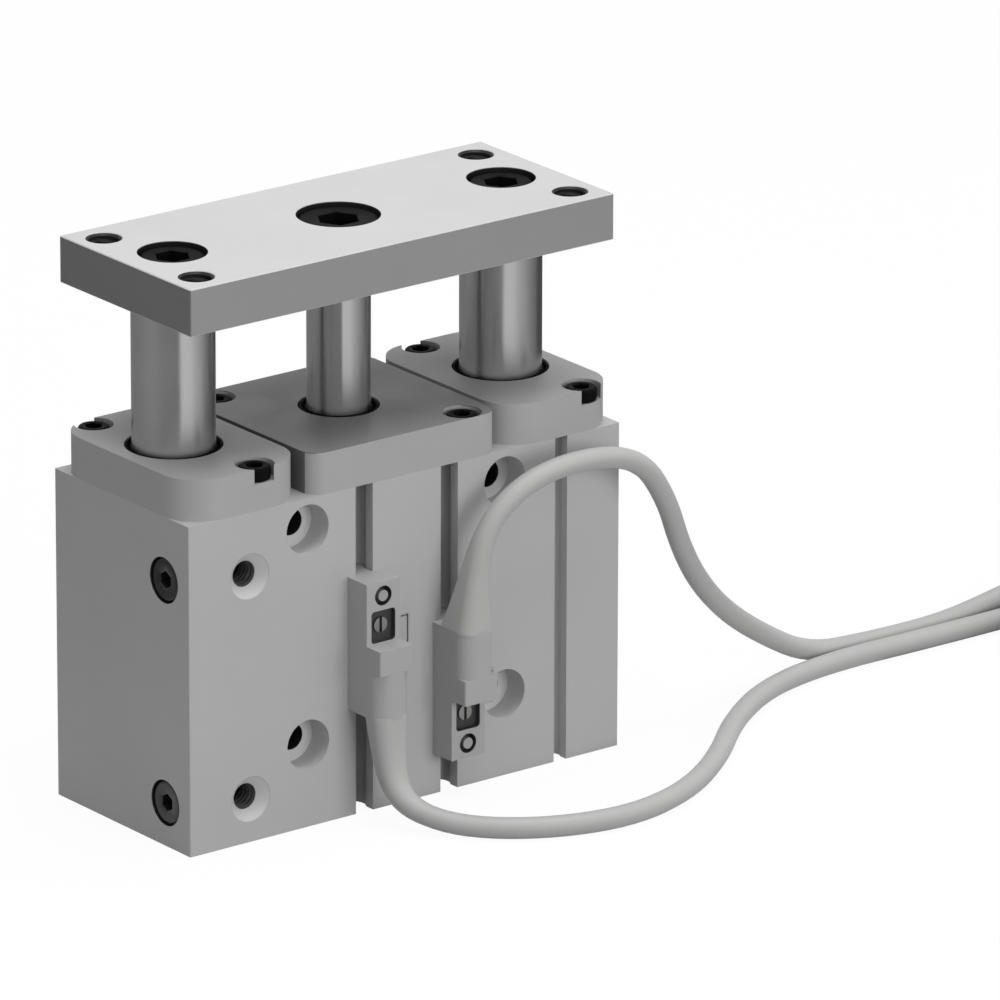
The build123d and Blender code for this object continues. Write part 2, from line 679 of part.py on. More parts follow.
# Position switches in the first two grooves: the first has its lead down, the second its lead up
switches = (
    ("left", -groove_x, switch_low_z, 1),
    ("right", groove_x, second_switch_low_z + switch_length, -1),
)
for name, x, lead_end_z, sense in switches:
    step_z = lead_end_z + sense * switch_lead_length
    free_end_z = lead_end_z + sense * switch_length
    free_face = front - switch_free_depth
    # For the flipped switch, local y of this plane points the other way
    along = Plane(origin=(x, 0, lead_end_z), x_dir=(1, 0, 0), z_dir=(0, 0, sense))
    with BuildPart() as switch_housing:
        # The round-nosed part at the lead, then the square block that reaches to the free end
        nose_length = switch_lead_length - switch_block_length
        for start, corner, length in (
            (0, switch_nose, nose_length),
            (nose_length, switch_edge, switch_length - nose_length),
        ):
            with BuildSketch(along.offset(start)):
                with Locations((0, sense * (front - switch_lead_depth / 2))):
                    RectangleRounded(switch_width, switch_lead_depth, corner)
                with Locations((0, sense * (front - corner))):
                    Rectangle(switch_width, 2 * corner)
                with Locations((0, sense * (front + groove_centre_depth / 2))):
                    Rectangle(groove_mouth - moving, groove_centre_depth)
                with Locations((0, sense * groove_y)):
                    Circle(groove_round / 2 - screw_clearance)
            extrude(amount=length)
        # Clamp lug at the side, with a slit round its outer end
        with BuildSketch(along.offset(lug_start)):
            with Locations((switch_width / 2 - lug_root, sense * (front - lug_depth / 2))):
                Rectangle(lug_reach + lug_root, lug_depth, align=(Align.MIN, Align.CENTER))
        extrude(amount=lug_length)
        lug_end = (x + switch_width / 2 + lug_reach, front - lug_depth)
        lug_z = lead_end_z + sense * (lug_start + lug_length / 2)
        slit_length = lug_length - 2 * lug_rim
        with BuildSketch(Plane(origin=(*lug_end, lug_z), x_dir=(1, 0, 0), z_dir=(0, -1, 0))):
            with Locations((-lug_rim, 0)):
                Rectangle(lug_slit_reach, slit_length, align=(Align.MAX, Align.CENTER))
            with Locations((-lug_rim - lug_slit_width, 0)):
                Rectangle(
                    lug_slit_reach,
                    slit_length - 2 * lug_slit_width,
                    align=(Align.MAX, Align.CENTER),
                    mode=Mode.SUBTRACT,
                )
        extrude(amount=-lug_slit_depth, mode=Mode.SUBTRACT)
        # The free end is lower than the lead end
        with BuildSketch(along.offset(switch_lead_length)):
            with Locations((0, sense * (free_face - switch_lead_depth / 2))):
                Rectangle(2 * switch_width, switch_lead_depth)
        extrude(amount=switch_length, mode=Mode.SUBTRACT)
        # Pocket, clamp screw hole and well of the indicator in the low face
        pocket_z = step_z + sense * (pocket_length / 2 + screw_clearance)
        face_plane = Plane(origin=(x, free_face, 0), x_dir=(1, 0, 0), z_dir=(0, -1, 0))
        with BuildSketch(face_plane):
            with Locations((0, pocket_z)):
                RectangleRounded(pocket_width, pocket_length, pocket_round)
        extrude(amount=-pocket_depth, mode=Mode.SUBTRACT)
        with BuildSketch(face_plane):
            with Locations((0, pocket_z)):
                Circle(clamp_screw_dia / 2 + seat)
        extrude(amount=-(pocket_depth + clamp_screw_length), mode=Mode.SUBTRACT)
        lens_z = (pocket_z + sense * pocket_length / 2 + free_end_z) / 2
        with BuildSketch(face_plane):
            with Locations((0, lens_z)):
                Circle(lens_well_dia / 2)
        extrude(amount=-lens_height, mode=Mode.SUBTRACT)
    finish(switch_housing.part, f"{name}_switch_housing")

    with BuildPart() as clamp_screw:
        with BuildSketch(face_plane.offset(-pocket_depth - clamp_screw_length)):
            with Locations((0, pocket_z)):
                Circle(clamp_screw_dia / 2)
        extrude(amount=clamp_screw_length + moving)
        with BuildSketch(face_plane.offset(-pocket_depth + moving)):
            with Locations((0, pocket_z)):
                Rectangle(clamp_screw_slot, clamp_screw_dia)
        extrude(amount=-clamp_screw_slot_depth, mode=Mode.SUBTRACT)
    finish(clamp_screw.part, f"{name}_switch_screw")

    with BuildPart() as switch_lens:
        with BuildSketch(face_plane.offset(-lens_height)):
            with Locations((0, lens_z)):
                Circle(lens_dia / 2)
        extrude(amount=lens_height)
    finish(switch_lens.part, f"{name}_switch_lens")

# Leads of the switches. The first drops to the floor, the second arches over the right edge of the body.
lead_tube(
    "left_lead",
    [
        (-groove_x, lead_exit_y, switch_low_z),
        (-groove_x, lead_exit_y, 9.6),
        (-8.0, -27.4, 3.9),
        (-3.6, -34.8, floor_z),
        (6.2, -43.6, floor_z),
        (20.3, -47.5, floor_z),
        (34.5, -43.9, floor_z),
        (47.7, -35.1, floor_z),
        (60.3, -23.1, floor_z),
        (74.2, -14.4, floor_z),
        (89.7, -11.3, floor_z),
        (108.0, -11.8, floor_z),
        (126.0, -11.9, floor_z),
        (coil_centre[0], coil_entry_y, first_coil_z + floor_z),
    ],
)
lead_tube(
    "right_lead",
    [
        (groove_x, lead_exit_y, second_switch_low_z + switch_length),
        (groove_x, lead_exit_y, 35.5),
        (10.2, -24.3, 45.3),
        (17.9, -25.1, 51.2),
        (29.4, -25.5, 52.6),
        (39.9, -25.0, 49.9),
        (46.2, -23.6, 41.5),
        (50.5, -21.4, 32.7),
        (57.0, -18.1, 24.1),
        (65.6, -14.4, 16.2),
        (76.1, -10.5, 9.1),
        (87.6, -8.0, 2.6),
        (101.0, -7.6, floor_z),
        (115.0, -7.8, floor_z),
        (126.0, -7.6, 3.2),
        (135.0, -9.6, 6.2),
        (coil_centre[0], coil_entry_y, second_coil_z + floor_z),
    ],
)

# The unseen length of each lead: two flat coils, one on the other, held by a tie
for name, coil_z in (("left", first_coil_z), ("right", second_coil_z)):
    ring(f"{name}_lead_coil", coil_inner, coil_outer, coil_z, lead_dia, coil_centre, coil_bevel)
coil_axis = Axis((*coil_centre, 0), (0, 0, 1))
with BuildPart() as lead_tie:
    with BuildSketch(Plane(origin=(*coil_centre, 0), x_dir=(1, 0, 0), z_dir=(0, -1, 0))):
        with Locations((coil_inner - tie_thickness, 0)):
            Rectangle(
                coil_outer - coil_inner + 2 * tie_thickness,
                second_coil_z + lead_dia + tie_thickness,
                align=(Align.MIN, Align.MIN),
            )
        with Locations((coil_inner, first_coil_z)):
            Rectangle(coil_outer - coil_inner, 2 * lead_dia, align=(Align.MIN, Align.MIN), mode=Mode.SUBTRACT)
    revolve(axis=coil_axis, revolution_arc=tie_angle)
    with BuildSketch(Plane.XY.offset(second_coil_z + lead_dia + tie_thickness)):
        tie_middle = coil_centre[1] + coil_outer * math.sin(math.radians(tie_angle / 2))
        with Locations((coil_centre[0] + coil_outer - tie_head, tie_middle)):
            Rectangle(tie_head, tie_head)
    extrude(amount=tie_head / 2)
finish(lead_tie.part, "lead_tie")

# Bare conductors at the end of each lead, inside the coil
for name, turn, coil_z, drop in (
    ("left", wire_turn, first_coil_z, 0.0),
    ("right", -wire_turn, second_coil_z, wire_drop),
):
    angle = math.radians(turn)
    start = (
        coil_centre[0] + coil_inner * math.cos(angle),
        coil_centre[1] + coil_inner * math.sin(angle),
        coil_z + wire_dia,
    )
    fall = math.radians(drop)
    with BuildPart() as lead_wires:
        with BuildSketch(Plane(origin=start, x_dir=(0, 1, 0), z_dir=(-math.cos(fall), 0, -math.sin(fall)))):
            with GridLocations(wire_pitch, 0, 2, 1):
                Circle(wire_dia / 2)
        extrude(amount=wire_length)
    finish(lead_wires.part, f"{name}_lead_wires")
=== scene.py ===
"""Looks of a guided pneumatic cylinder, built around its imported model.

Everything is in metres, +Z up, in the frame of the CAD model: the origin is the middle of the body's bottom
face, on the piston's axis, and the body's front face looks along -Y.
"""

import math

import bmesh
import bpy
import numpy as np
from bpy.props import FloatProperty, FloatVectorProperty, IntProperty, PointerProperty
from bpy.types import Operator, Panel, PropertyGroup
from mathutils import Matrix, Vector


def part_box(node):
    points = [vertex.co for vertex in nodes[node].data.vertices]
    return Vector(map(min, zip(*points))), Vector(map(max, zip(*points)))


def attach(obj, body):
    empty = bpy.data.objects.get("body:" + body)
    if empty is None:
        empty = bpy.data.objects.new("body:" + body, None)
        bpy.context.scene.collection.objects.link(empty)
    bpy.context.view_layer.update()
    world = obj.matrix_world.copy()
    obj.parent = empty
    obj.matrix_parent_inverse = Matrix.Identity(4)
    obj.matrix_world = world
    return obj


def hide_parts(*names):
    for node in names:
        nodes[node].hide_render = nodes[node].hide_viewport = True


bl_info = {
    "name": "Guided pneumatic cylinder",
    "version": (1, 0, 0),
    "blender": (4, 5, 0),
    "location": "View3D > Sidebar > Cylinder",
    "description": "Finishes, rods, screws, switches and leads of a guided pneumatic cylinder",
    "category": "Object",
}

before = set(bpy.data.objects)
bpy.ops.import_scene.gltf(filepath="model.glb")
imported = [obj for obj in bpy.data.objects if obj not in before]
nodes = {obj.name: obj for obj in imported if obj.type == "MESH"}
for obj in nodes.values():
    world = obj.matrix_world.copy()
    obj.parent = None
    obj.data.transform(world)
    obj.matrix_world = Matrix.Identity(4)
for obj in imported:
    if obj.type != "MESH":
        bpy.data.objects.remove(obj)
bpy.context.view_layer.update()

MM = 0.001
UP = (0.0, 0.0, 1.0)
BARREL = "barrel"
CARRIAGE = "carriage"

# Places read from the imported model
body_low, body_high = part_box("cylinder_body")
cap_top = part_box("left_guide_cap")[1].z
plate_low, plate_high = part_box("end_plate")
front = body_low.y
left_side = body_low.x
guide_x = (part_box("right_guide_rod")[0].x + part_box("right_guide_rod")[1].x) / 2

# Rods: their tapped holes with the drill's tip below, and the stem that the piston sits on
ROD_HOLE_RADIUS = 3.05 * MM
ROD_HOLE_DEPTH = 11.0 * MM
DRILL_TIP = 1.5 * MM
STEM_RADIUS = 3.0 * MM
ROD_EASE = 0.15 * MM

# Inner radius of each wiper and of the rod seal
WIPER_RADII = {"left_rod_wiper": 6.53 * MM, "right_rod_wiper": 6.53 * MM, "rod_seal": 5.03 * MM}
LIP_EASE = 0.08 * MM

# Screws: head diameter, head height, thread diameter, thread length, key size, depth of the socket
CAP_SCREW = (5.0 * MM, 2.2 * MM, 3.0 * MM, 10.3 * MM, 2.5 * MM, 1.32 * MM)
GUIDE_SCREW = (10.0 * MM, 3.6 * MM, 6.0 * MM, 13.3 * MM, 5.0 * MM, 2.16 * MM)
ROD_SCREW = (12.6 * MM, 3.6 * MM, 6.0 * MM, 13.3 * MM, 6.0 * MM, 2.16 * MM)
PORT_PLUG = (7.0 * MM, 1.2 * MM, 4.1 * MM, 3.3 * MM, 2.5 * MM, 2.0 * MM)
CAP_SCREW_PITCH = 0.5 * MM
PLATE_SCREW_PITCH = 1.0 * MM
CAP_SCREW_POINTS = ((-35.8, 15.0), (-27.2, -15.0), (27.2, 15.0), (35.8, -15.0), (-13.0, 14.4), (13.0, -14.4))
cap_screw_seat = cap_top - 2.4 * MM
plate_screw_seat = plate_high.z - 4.2 * MM
PORT_LEVELS = (7.0 * MM, 43.2 * MM)
port_x = -30.0 * MM
side_port_y = -11.0 * MM
plug_seat_x = left_side + 1.5 * MM

# The end of each switch that has its screw and lens, from low to high
SWITCH_FREE_ENDS = {"left": (29.2 * MM, 39.2 * MM), "right": (6.8 * MM, 16.8 * MM)}
SWITCH_WIDTH = 6.4 * MM

# Tapped holes that show: their places and radii, the gap and the wall of a thread's lining, and the depth of
# a thread as a share of its pitch
PLATE_HOLES = [(x, y) for x in (-35.75, 35.75) for y in (-12.0, 12.0)]
BOTTOM_HOLES_X = (-17.5, 17.5)
PLATE_TAP = 2.5 * MM
PORT_TAP = 2.1 * MM
LINING_GAP = 0.01 * MM
LINING_WALL = 0.03 * MM
TAP_DEPTH_SHARE = 0.35
PLATE_THREAD_MARGIN = 0.5 * MM
PORT_THREAD_START, PORT_THREAD_LENGTH = 1.7 * MM, 4.2 * MM
BOTTOM_THREAD_START, BOTTOM_THREAD_LENGTH = 0.4 * MM, 7.5 * MM
SCREW_DEPTH_SHARE = 0.6

# Leads: where each leaves its switch, the corners of its way to the coil, in millimetres
LEFT_ROUTE = (
    (-8.2, -23.9, 17.6),
    (-8.2, -23.9, 9.6),
    (-8.0, -27.4, 3.9),
    (-3.6, -34.8, 1.7),
    (6.2, -43.6, 1.7),
    (20.3, -47.5, 1.7),
    (34.5, -43.9, 1.7),
    (47.7, -35.1, 1.7),
    (60.3, -23.1, 1.7),
    (74.2, -14.4, 1.7),
    (89.7, -11.3, 1.7),
    (108.0, -11.8, 1.7),
    (126.0, -11.9, 1.7),
    (143.0, -12.1, 2.2),
)
RIGHT_ROUTE = (
    (8.2, -23.9, 28.4),
    (8.2, -23.9, 35.5),
    (10.2, -24.3, 45.3),
    (17.9, -25.1, 51.2),
    (29.4, -25.5, 52.6),
    (39.9, -25.0, 49.9),
    (46.2, -23.6, 41.5),
    (50.5, -21.4, 32.7),
    (57.0, -18.1, 24.1),
    (65.6, -14.4, 16.2),
    (76.1, -10.5, 9.1),
    (87.6, -8.0, 2.6),
    (101.0, -7.6, 1.7),
    (115.0, -7.8, 1.7),
    (126.0, -7.6, 3.2),
    (135.0, -9.6, 6.2),
    (143.0, -12.1, 5.6),
)
COIL_CENTRE = (143.0, -36.6)
COIL_OUTER_TURN = 24.5
COIL_POINTS_PER_TURN = 16

# For each lead: its route, its boot's direction, depth and taper, the turn its coil ends at, and its length
LEADS = (
    ("left", LEFT_ROUTE, (-1, 4.5 * MM, 1.2), 42.0, 0.463),
    ("right", RIGHT_ROUTE, (1, 6.8 * MM, 1.9), -18.0, 0.472),
)
BOOT_WIDTH = 6.36 * MM
BOOT_BACK = 1.98 * MM
BOOT_INNER_CORNER = 0.9 * MM
BOOT_OUTER_CORNER = 2.2 * MM
BOOT_ROOT = 0.4 * MM

# Wires: colour, shift from the jacket's middle and reach towards -X in millimetres, the space under the tips,
# the points of the path that are insulated, and the copper's share of the insulation's radius
WIRES = (("brown", 0.75, 12.5), ("blue", -0.75, 11.5))
WIRE_SPACE_BELOW = 0.5 * MM
INSULATED_POINTS = 20
STRAND_SHARE = 0.55

# Tie: its inner and outer reach from the coils' middle, its top, section, corners and turn, and its head
TIE_INNER, TIE_OUTER, TIE_TOP = 14.48 * MM, 26.7 * MM, 7.8 * MM
TIE_THICKNESS, TIE_HALF_WIDTH = 0.5 * MM, 1.9 * MM
TIE_CORNER, TIE_EDGE = 1.6 * MM, 0.15 * MM
TIE_TURN = math.radians(4.5)
TIE_STEPS = 96
TIE_HEAD_HALF = (2.0 * MM, 2.0 * MM, 1.0 * MM)
TIE_HEAD_SPOT = (24.2 * MM, 2.0 * MM, 0.9 * MM)

# Card around the object: radii, height over the floor, and its tone at angles from +X in degrees
CARD_INNER, CARD_OUTER, CARD_HEIGHT = 0.1, 3.9, 0.3 * MM
CARD_STEPS = 180
CARD_TONES = (
    (-112.5, 1.0),
    (-85.0, 0.93),
    (-70.0, 0.68),
    (-51.0, 0.5),
    (-29.0, 0.28),
    (0.0, 0.06),
    (50.0, 0.08),
    (70.0, 0.25),
    (180.0, 0.28),
    (205.0, 0.18),
    (246.5, 0.17),
    (247.5, 1.0),
)
FLOOR_HALF = 4.0
FLOOR_SEEN = 0.97

# Lights: place and size of each, and what both look at
KEY_LIGHT = ((0.05, -0.1, 1.1), (0.8, 0.6))
FILL_LIGHT = ((0.1, -1.3, 0.35), (0.8, 0.5))
LIGHT_AIM = (0.0, 0.0, 0.04)

# Camera: its azimuth, elevation and roll in degrees, its target and distance, and its lens in millimetres
CAMERA_TURNS = (-37.5057, 18.9776, 0.1602)
CAMERA_TARGET = (0.0314936, 0.0, 0.0380123)
CAMERA_DISTANCE = 1.83034
CAMERA_LENS, CAMERA_SENSOR = 420.2, 36.0

# Painted shade inside bores and recesses, and the depth behind the body's front past which its holes are
# painted dark; painted light in the body's grooves and hole mouths, and painted shade on the rod cover's ends
DEEP_SHADE = (0.02, 0.02, 0.02)
PLATE_HOLE_SHADE = (0.008, 0.008, 0.008)
PORT_SHADE = (0.1, 0.1, 0.1)
SWITCH_RECESS_SHADE = (0.05, 0.05, 0.05)
GROOVE_DEPTH = 4.4 * MM
GROOVE_PAINTED_LIGHT = 1.27
COVER_END_PAINTED_SHADE = 0.35
RECESS_MARGIN = 0.12 * MM

# Finishes without a setting of their own
MATT = {"specular_ior_level": 0.3}
DRAWN = {
    "grain": (3.0, 3.0, 0.08),
    "anisotropic": 0.9,
    "anisotropic_rotation": 0.25,
    "mottle": 0.01,
    "marks": 0.01,
}
FIXED_FINISHES = {
    "plug_oxide": {"colour": (0.016, 0.016, 0.017), "roughness": 0.4, "grain": (0.15, 0.15, 0.15), **MATT},
    "bright_steel": {
        "colour": (0.26, 0.258, 0.25),
        "roughness": 0.34,
        "metallic": 1.0,
        "grain": (0.1, 0.1, 0.1),
        "grain_depth": 0.002,
    },
    "spring_steel": {"colour": (0.07, 0.065, 0.06), "roughness": 0.35, "metallic": 0.8},
    "bronze": {"colour": (0.42, 0.26, 0.11), "roughness": 0.4, "metallic": 1.0},
    "black_rubber": {
        "colour": (0.006, 0.006, 0.006),
        "roughness": 0.7,
        "grain": (0.25, 0.25, 0.25),
        "grain_depth": 0.01,
        "specular_ior_level": 0.03,
    },
    "bumper_urethane": {"colour": (0.32, 0.17, 0.05), "roughness": 0.5, "subsurface_weight": 0.1},
    "wear_ring_plastic": {"colour": (0.5, 0.47, 0.4), "roughness": 0.55},
    "magnet_grey": {"colour": (0.06, 0.06, 0.065), "roughness": 0.4, "metallic": 0.5},
    "clear_lens": {"colour": (0.33, 0.33, 0.32), "roughness": 0.14, "grain_depth": 0.0, "coat_weight": 0.4},
    "tie_plastic": {"colour": (0.72, 0.72, 0.7), "roughness": 0.4, "subsurface_weight": 0.05},
    "wire_brown": {"colour": (0.12, 0.05, 0.02), "roughness": 0.45},
    "wire_blue": {"colour": (0.02, 0.09, 0.35), "roughness": 0.45},
    "copper": {"colour": (0.78, 0.36, 0.2), "roughness": 0.3, "metallic": 1.0},
}

# Pieces that keep their CAD shape, by finish
KEPT_PIECES = {
    "body_anodised": ("cylinder_body",),
    "cap_anodised": ("left_guide_cap", "right_guide_cap", "head_cover", "piston"),
    "cover_anodised": ("rod_cover",),
    "plate_satin": ("end_plate",),
    "bronze": ("left_lower_bush", "right_lower_bush", "left_upper_bush", "right_upper_bush", "rod_bush"),
    "black_rubber": ("rod_cover_oring", "head_cover_oring", "piston_seal"),
    "bumper_urethane": ("rod_bumper", "head_bumper"),
    "spring_steel": ("retaining_ring",),
    "wear_ring_plastic": ("wear_ring",),
    "magnet_grey": ("magnet_ring",),
    "bright_steel": ("piston_nut", "left_switch_screw", "right_switch_screw"),
    "switch_plastic": ("left_switch_housing", "right_switch_housing"),
    "clear_lens": ("left_switch_lens", "right_switch_lens"),
}


# ---------------------------------------------------------------- surfaces


def angles(columns):
    """Equal steps of a full turn, counter-clockwise from +X."""
    return np.linspace(0.0, 2 * np.pi, columns, endpoint=False)


def hexagon(flats, turn):
    """Distance from a hexagon's centre to its edge: half the width over flats, over the cosine of the angle
    between the given turn and the middle of the nearest flat."""
    return flats / 2 / np.cos(turn % (np.pi / 3) - np.pi / 6)


def eased(corners, ease, steps=5):
    """A profile's corners with each one rounded: around corner P the curve is the parabola
    (1-t)^2 A + 2t(1-t) P + t^2 B, where A and B lie on the runs before and after P, at the distance `ease`
    or at 0.45 of the run, whichever is less. The first and last corners stay sharp."""
    points = np.array(corners, float)
    runs = np.diff(points, axis=0)
    lengths = np.maximum(np.linalg.norm(runs, axis=1, keepdims=True), 1e-12)
    reach = np.minimum(ease, 0.45 * lengths) * runs / lengths
    inner = points[1:-1, None, :]
    start = inner - reach[:-1, None, :]
    end = inner + reach[1:, None, :]
    t = np.linspace(0.0, 1.0, steps)[None, :, None]
    curves = (1 - t) ** 2 * start + 2 * t * (1 - t) * inner + t**2 * end
    return np.concatenate([points[:1], curves.reshape(-1, points.shape[1]), points[-1:]])


def round_points(radius, height, turn):
    """Points (r cos t, r sin t, h) for the radii, heights and angles, spread to their shared shape."""
    radius, height, turn = np.broadcast_arrays(radius, height, turn)
    return np.stack([radius * np.cos(turn), radius * np.sin(turn), height], axis=-1)


def turned(profile, columns):
    """Surface of revolution about +Z: the point at profile position s and angle t is
    (r(s) cos t, r(s) sin t, h(s)). The profile runs from the bottom over the outside to the top, or on down
    the inside of a hollow piece."""
    turn = angles(columns)
    return round_points(profile[:, :1], profile[:, 1:], turn)


def thread_wave(height, turn, pitch):
    """Share of a thread's depth: a triangle wave, 1 on the crest and 0 in the root, of the height in pitches
    less the turn in whole turns, so the crest climbs one pitch in one turn."""
    phase = (height / pitch - turn / (2 * np.pi)) % 1.0
    return 1.0 - np.abs(2 * phase - 1.0)


def aimed(lattice, origin, axis=UP):
    """The lattice with its +Z turned towards the axis and its origin moved to the given point."""
    turn = Vector(UP).rotation_difference(Vector(axis)).to_matrix()
    return lattice @ np.array(turn).T + np.array(origin, float)


def rounded_rectangle(width, depth, radius, columns):
    """Rectangle with round corners, counter-clockwise: in a corner of centre C the point at angle t is
    C + radius (cos t, sin t), and C is the half width and half depth less the radius, with the signs of the
    cosine and sine of the middle of that quarter turn."""
    turn = angles(columns) + np.pi / columns
    quarter = np.floor(turn / (np.pi / 2)) * (np.pi / 2) + np.pi / 4
    centre_x = np.sign(np.cos(quarter)) * (width / 2 - radius)
    centre_y = np.sign(np.sin(quarter)) * (depth / 2 - radius)
    return np.stack([centre_x + radius * np.cos(turn), centre_y + radius * np.sin(turn)], axis=-1)


def tube_along(path, radii, columns=20):
    """Round tube: at path point P with unit tangent T, side vector S = Z x T and rise vector R = T x S, the
    point at angle t is P + r (S cos t + R sin t). A radius of 0 at both ends closes it."""
    tangent = np.gradient(path, axis=0)
    tangent /= np.linalg.norm(tangent, axis=1, keepdims=True)
    aside = np.cross(UP, tangent)
    aside /= np.linalg.norm(aside, axis=1, keepdims=True)
    rise = np.cross(tangent, aside)
    turn = angles(columns)[None, :, None]
    spoke = aside[:, None, :] * np.cos(turn) + rise[:, None, :] * np.sin(turn)
    return path[:, None, :] + radii[:, None, None] * spoke


def parabola_path(start, corner, end, steps=24):
    """Path that leaves the start towards the corner and arrives from it:
    (1-t)^2 start + 2t(1-t) corner + t^2 end."""
    t = np.linspace(0.0, 1.0, steps)[:, None]
    return (1 - t) ** 2 * np.array(start) + 2 * t * (1 - t) * np.array(corner) + t**2 * np.array(end)


def lattice_faces(rows, columns, first, loop_rows):
    """Quads between neighbouring rows and columns. Columns close on themselves, and rows do where asked."""
    row = np.arange(rows if loop_rows else rows - 1)[:, None]
    above = (row + 1) % rows
    column = np.arange(columns)[None, :]
    beside = (column + 1) % columns
    row, above = row * columns, above * columns
    corners = (row + column, row + beside, above + beside, above + column)
    return np.stack(np.broadcast_arrays(*corners), axis=-1).reshape(-1, 4) + first


def add_piece(name, lattices, finish, body, replaced=(), sharp=40.0, loop_rows=False):
    """One object from one or more lattices of rows x columns x 3 points. Doubled points, as at poles, are
    merged, faces are smooth, and edges sharper than the given angle are kept crisp."""
    points, faces, first = [], [], 0
    for lattice in lattices:
        rows, columns = lattice.shape[:2]
        points.append(lattice.reshape(-1, 3))
        faces.append(lattice_faces(rows, columns, first, loop_rows))
        first += rows * columns
    mesh = bpy.data.meshes.new(name)
    mesh.from_pydata(np.concatenate(points).tolist(), [], np.concatenate(faces).tolist())
    shape = bmesh.new()
    shape.from_mesh(mesh)
    bmesh.ops.remove_doubles(shape, verts=shape.verts, dist=1e-7)
    bmesh.ops.dissolve_degenerate(shape, edges=shape.edges, dist=1e-8)
    shape.to_mesh(mesh)
    shape.free()
    mesh.shade_smooth()
    mesh.set_sharp_from_angle(angle=math.radians(sharp))
    mesh.materials.append(bpy.data.materials[f"{finish}_finish"])
    piece = bpy.data.objects.new(name, mesh)
    bpy.context.scene.collection.objects.link(piece)
    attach(piece, body)
    if replaced:
        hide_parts(*replaced)
    return piece


# ---------------------------------------------------------------- finishes


def operation_node(tree, operation, kind="ShaderNodeMath"):
    """Math node that is set to the operation."""
    node = tree.new(kind)
    node.operation = operation
    return node


def new_material(name):
    """Material with its nodes and links."""
    material = bpy.data.materials.new(name)
    material.use_nodes = True
    return material, material.node_tree.nodes, material.node_tree.links


def value_group(name, inputs, outputs, build):
    """Shader node group with the given sockets; build wires its inside."""
    group = bpy.data.node_groups.new(name, "ShaderNodeTree")
    for socket_name, kind, default in inputs:
        socket = group.interface.new_socket(socket_name, in_out="INPUT", socket_type=kind)
        if default is not None:
            socket.default_value = default
    for socket_name, kind in outputs:
        group.interface.new_socket(socket_name, in_out="OUTPUT", socket_type=kind)
    build(group.nodes, group.links, group.nodes.new("NodeGroupInput"), group.nodes.new("NodeGroupOutput"))
    return group


def build_grain(tree, links, given, put):
    """Two octaves of fine noise on coordinates that the material has stretched along the tool marks."""
    noise = tree.new("ShaderNodeTexNoise")
    noise.inputs["Scale"].default_value = 1.0
    noise.inputs["Detail"].default_value = 2.0
    noise.inputs["Roughness"].default_value = 0.6
    links.new(given.outputs["Vector"], noise.inputs["Vector"])
    links.new(noise.outputs["Fac"], put.inputs["Height"])


def signed_noise(tree, links, given, detail, distortion, half):
    """Socket of a noise that runs from -1 to 1 where the plain noise runs from 0.5-half to 0.5+half."""
    noise = tree.new("ShaderNodeTexNoise")
    noise.inputs["Detail"].default_value = detail
    noise.inputs["Distortion"].default_value = distortion
    spread = tree.new("ShaderNodeMapRange")
    spread.inputs["From Min"].default_value = 0.5 - half
    spread.inputs["From Max"].default_value = 0.5 + half
    spread.inputs["To Min"].default_value = -1.0
    links.new(given.outputs["Vector"], noise.inputs["Vector"])
    links.new(given.outputs["Scale"], noise.inputs["Scale"])
    links.new(noise.outputs["Fac"], spread.inputs["Value"])
    return spread.outputs["Result"]


def build_mottle(tree, links, given, put):
    """Colour times 1 plus Amount times a slow noise that runs from -1 to 1."""
    factor = operation_node(tree, "MULTIPLY_ADD")
    factor.inputs[2].default_value = 1.0
    tint = operation_node(tree, "SCALE", "ShaderNodeVectorMath")
    links.new(signed_noise(tree, links, given, 3.0, 0.0, 0.2), factor.inputs[0])
    links.new(given.outputs["Amount"], factor.inputs[1])
    links.new(given.outputs["Color"], tint.inputs[0])
    links.new(factor.outputs["Value"], tint.inputs["Scale"])
    links.new(tint.outputs["Vector"], put.inputs["Color"])


def build_handling(tree, links, given, put):
    """Roughness plus Amount times a patchy noise that runs from -1 to 1, kept between 0.05 and 1."""
    add = operation_node(tree, "MULTIPLY_ADD")
    bound = tree.new("ShaderNodeClamp")
    bound.inputs["Min"].default_value = 0.05
    links.new(signed_noise(tree, links, given, 5.0, 0.6, 0.15), add.inputs[0])
    links.new(given.outputs["Amount"], add.inputs[1])
    links.new(given.outputs["Roughness"], add.inputs[2])
    links.new(add.outputs["Value"], bound.inputs["Value"])
    links.new(bound.outputs["Result"], put.inputs["Roughness"])


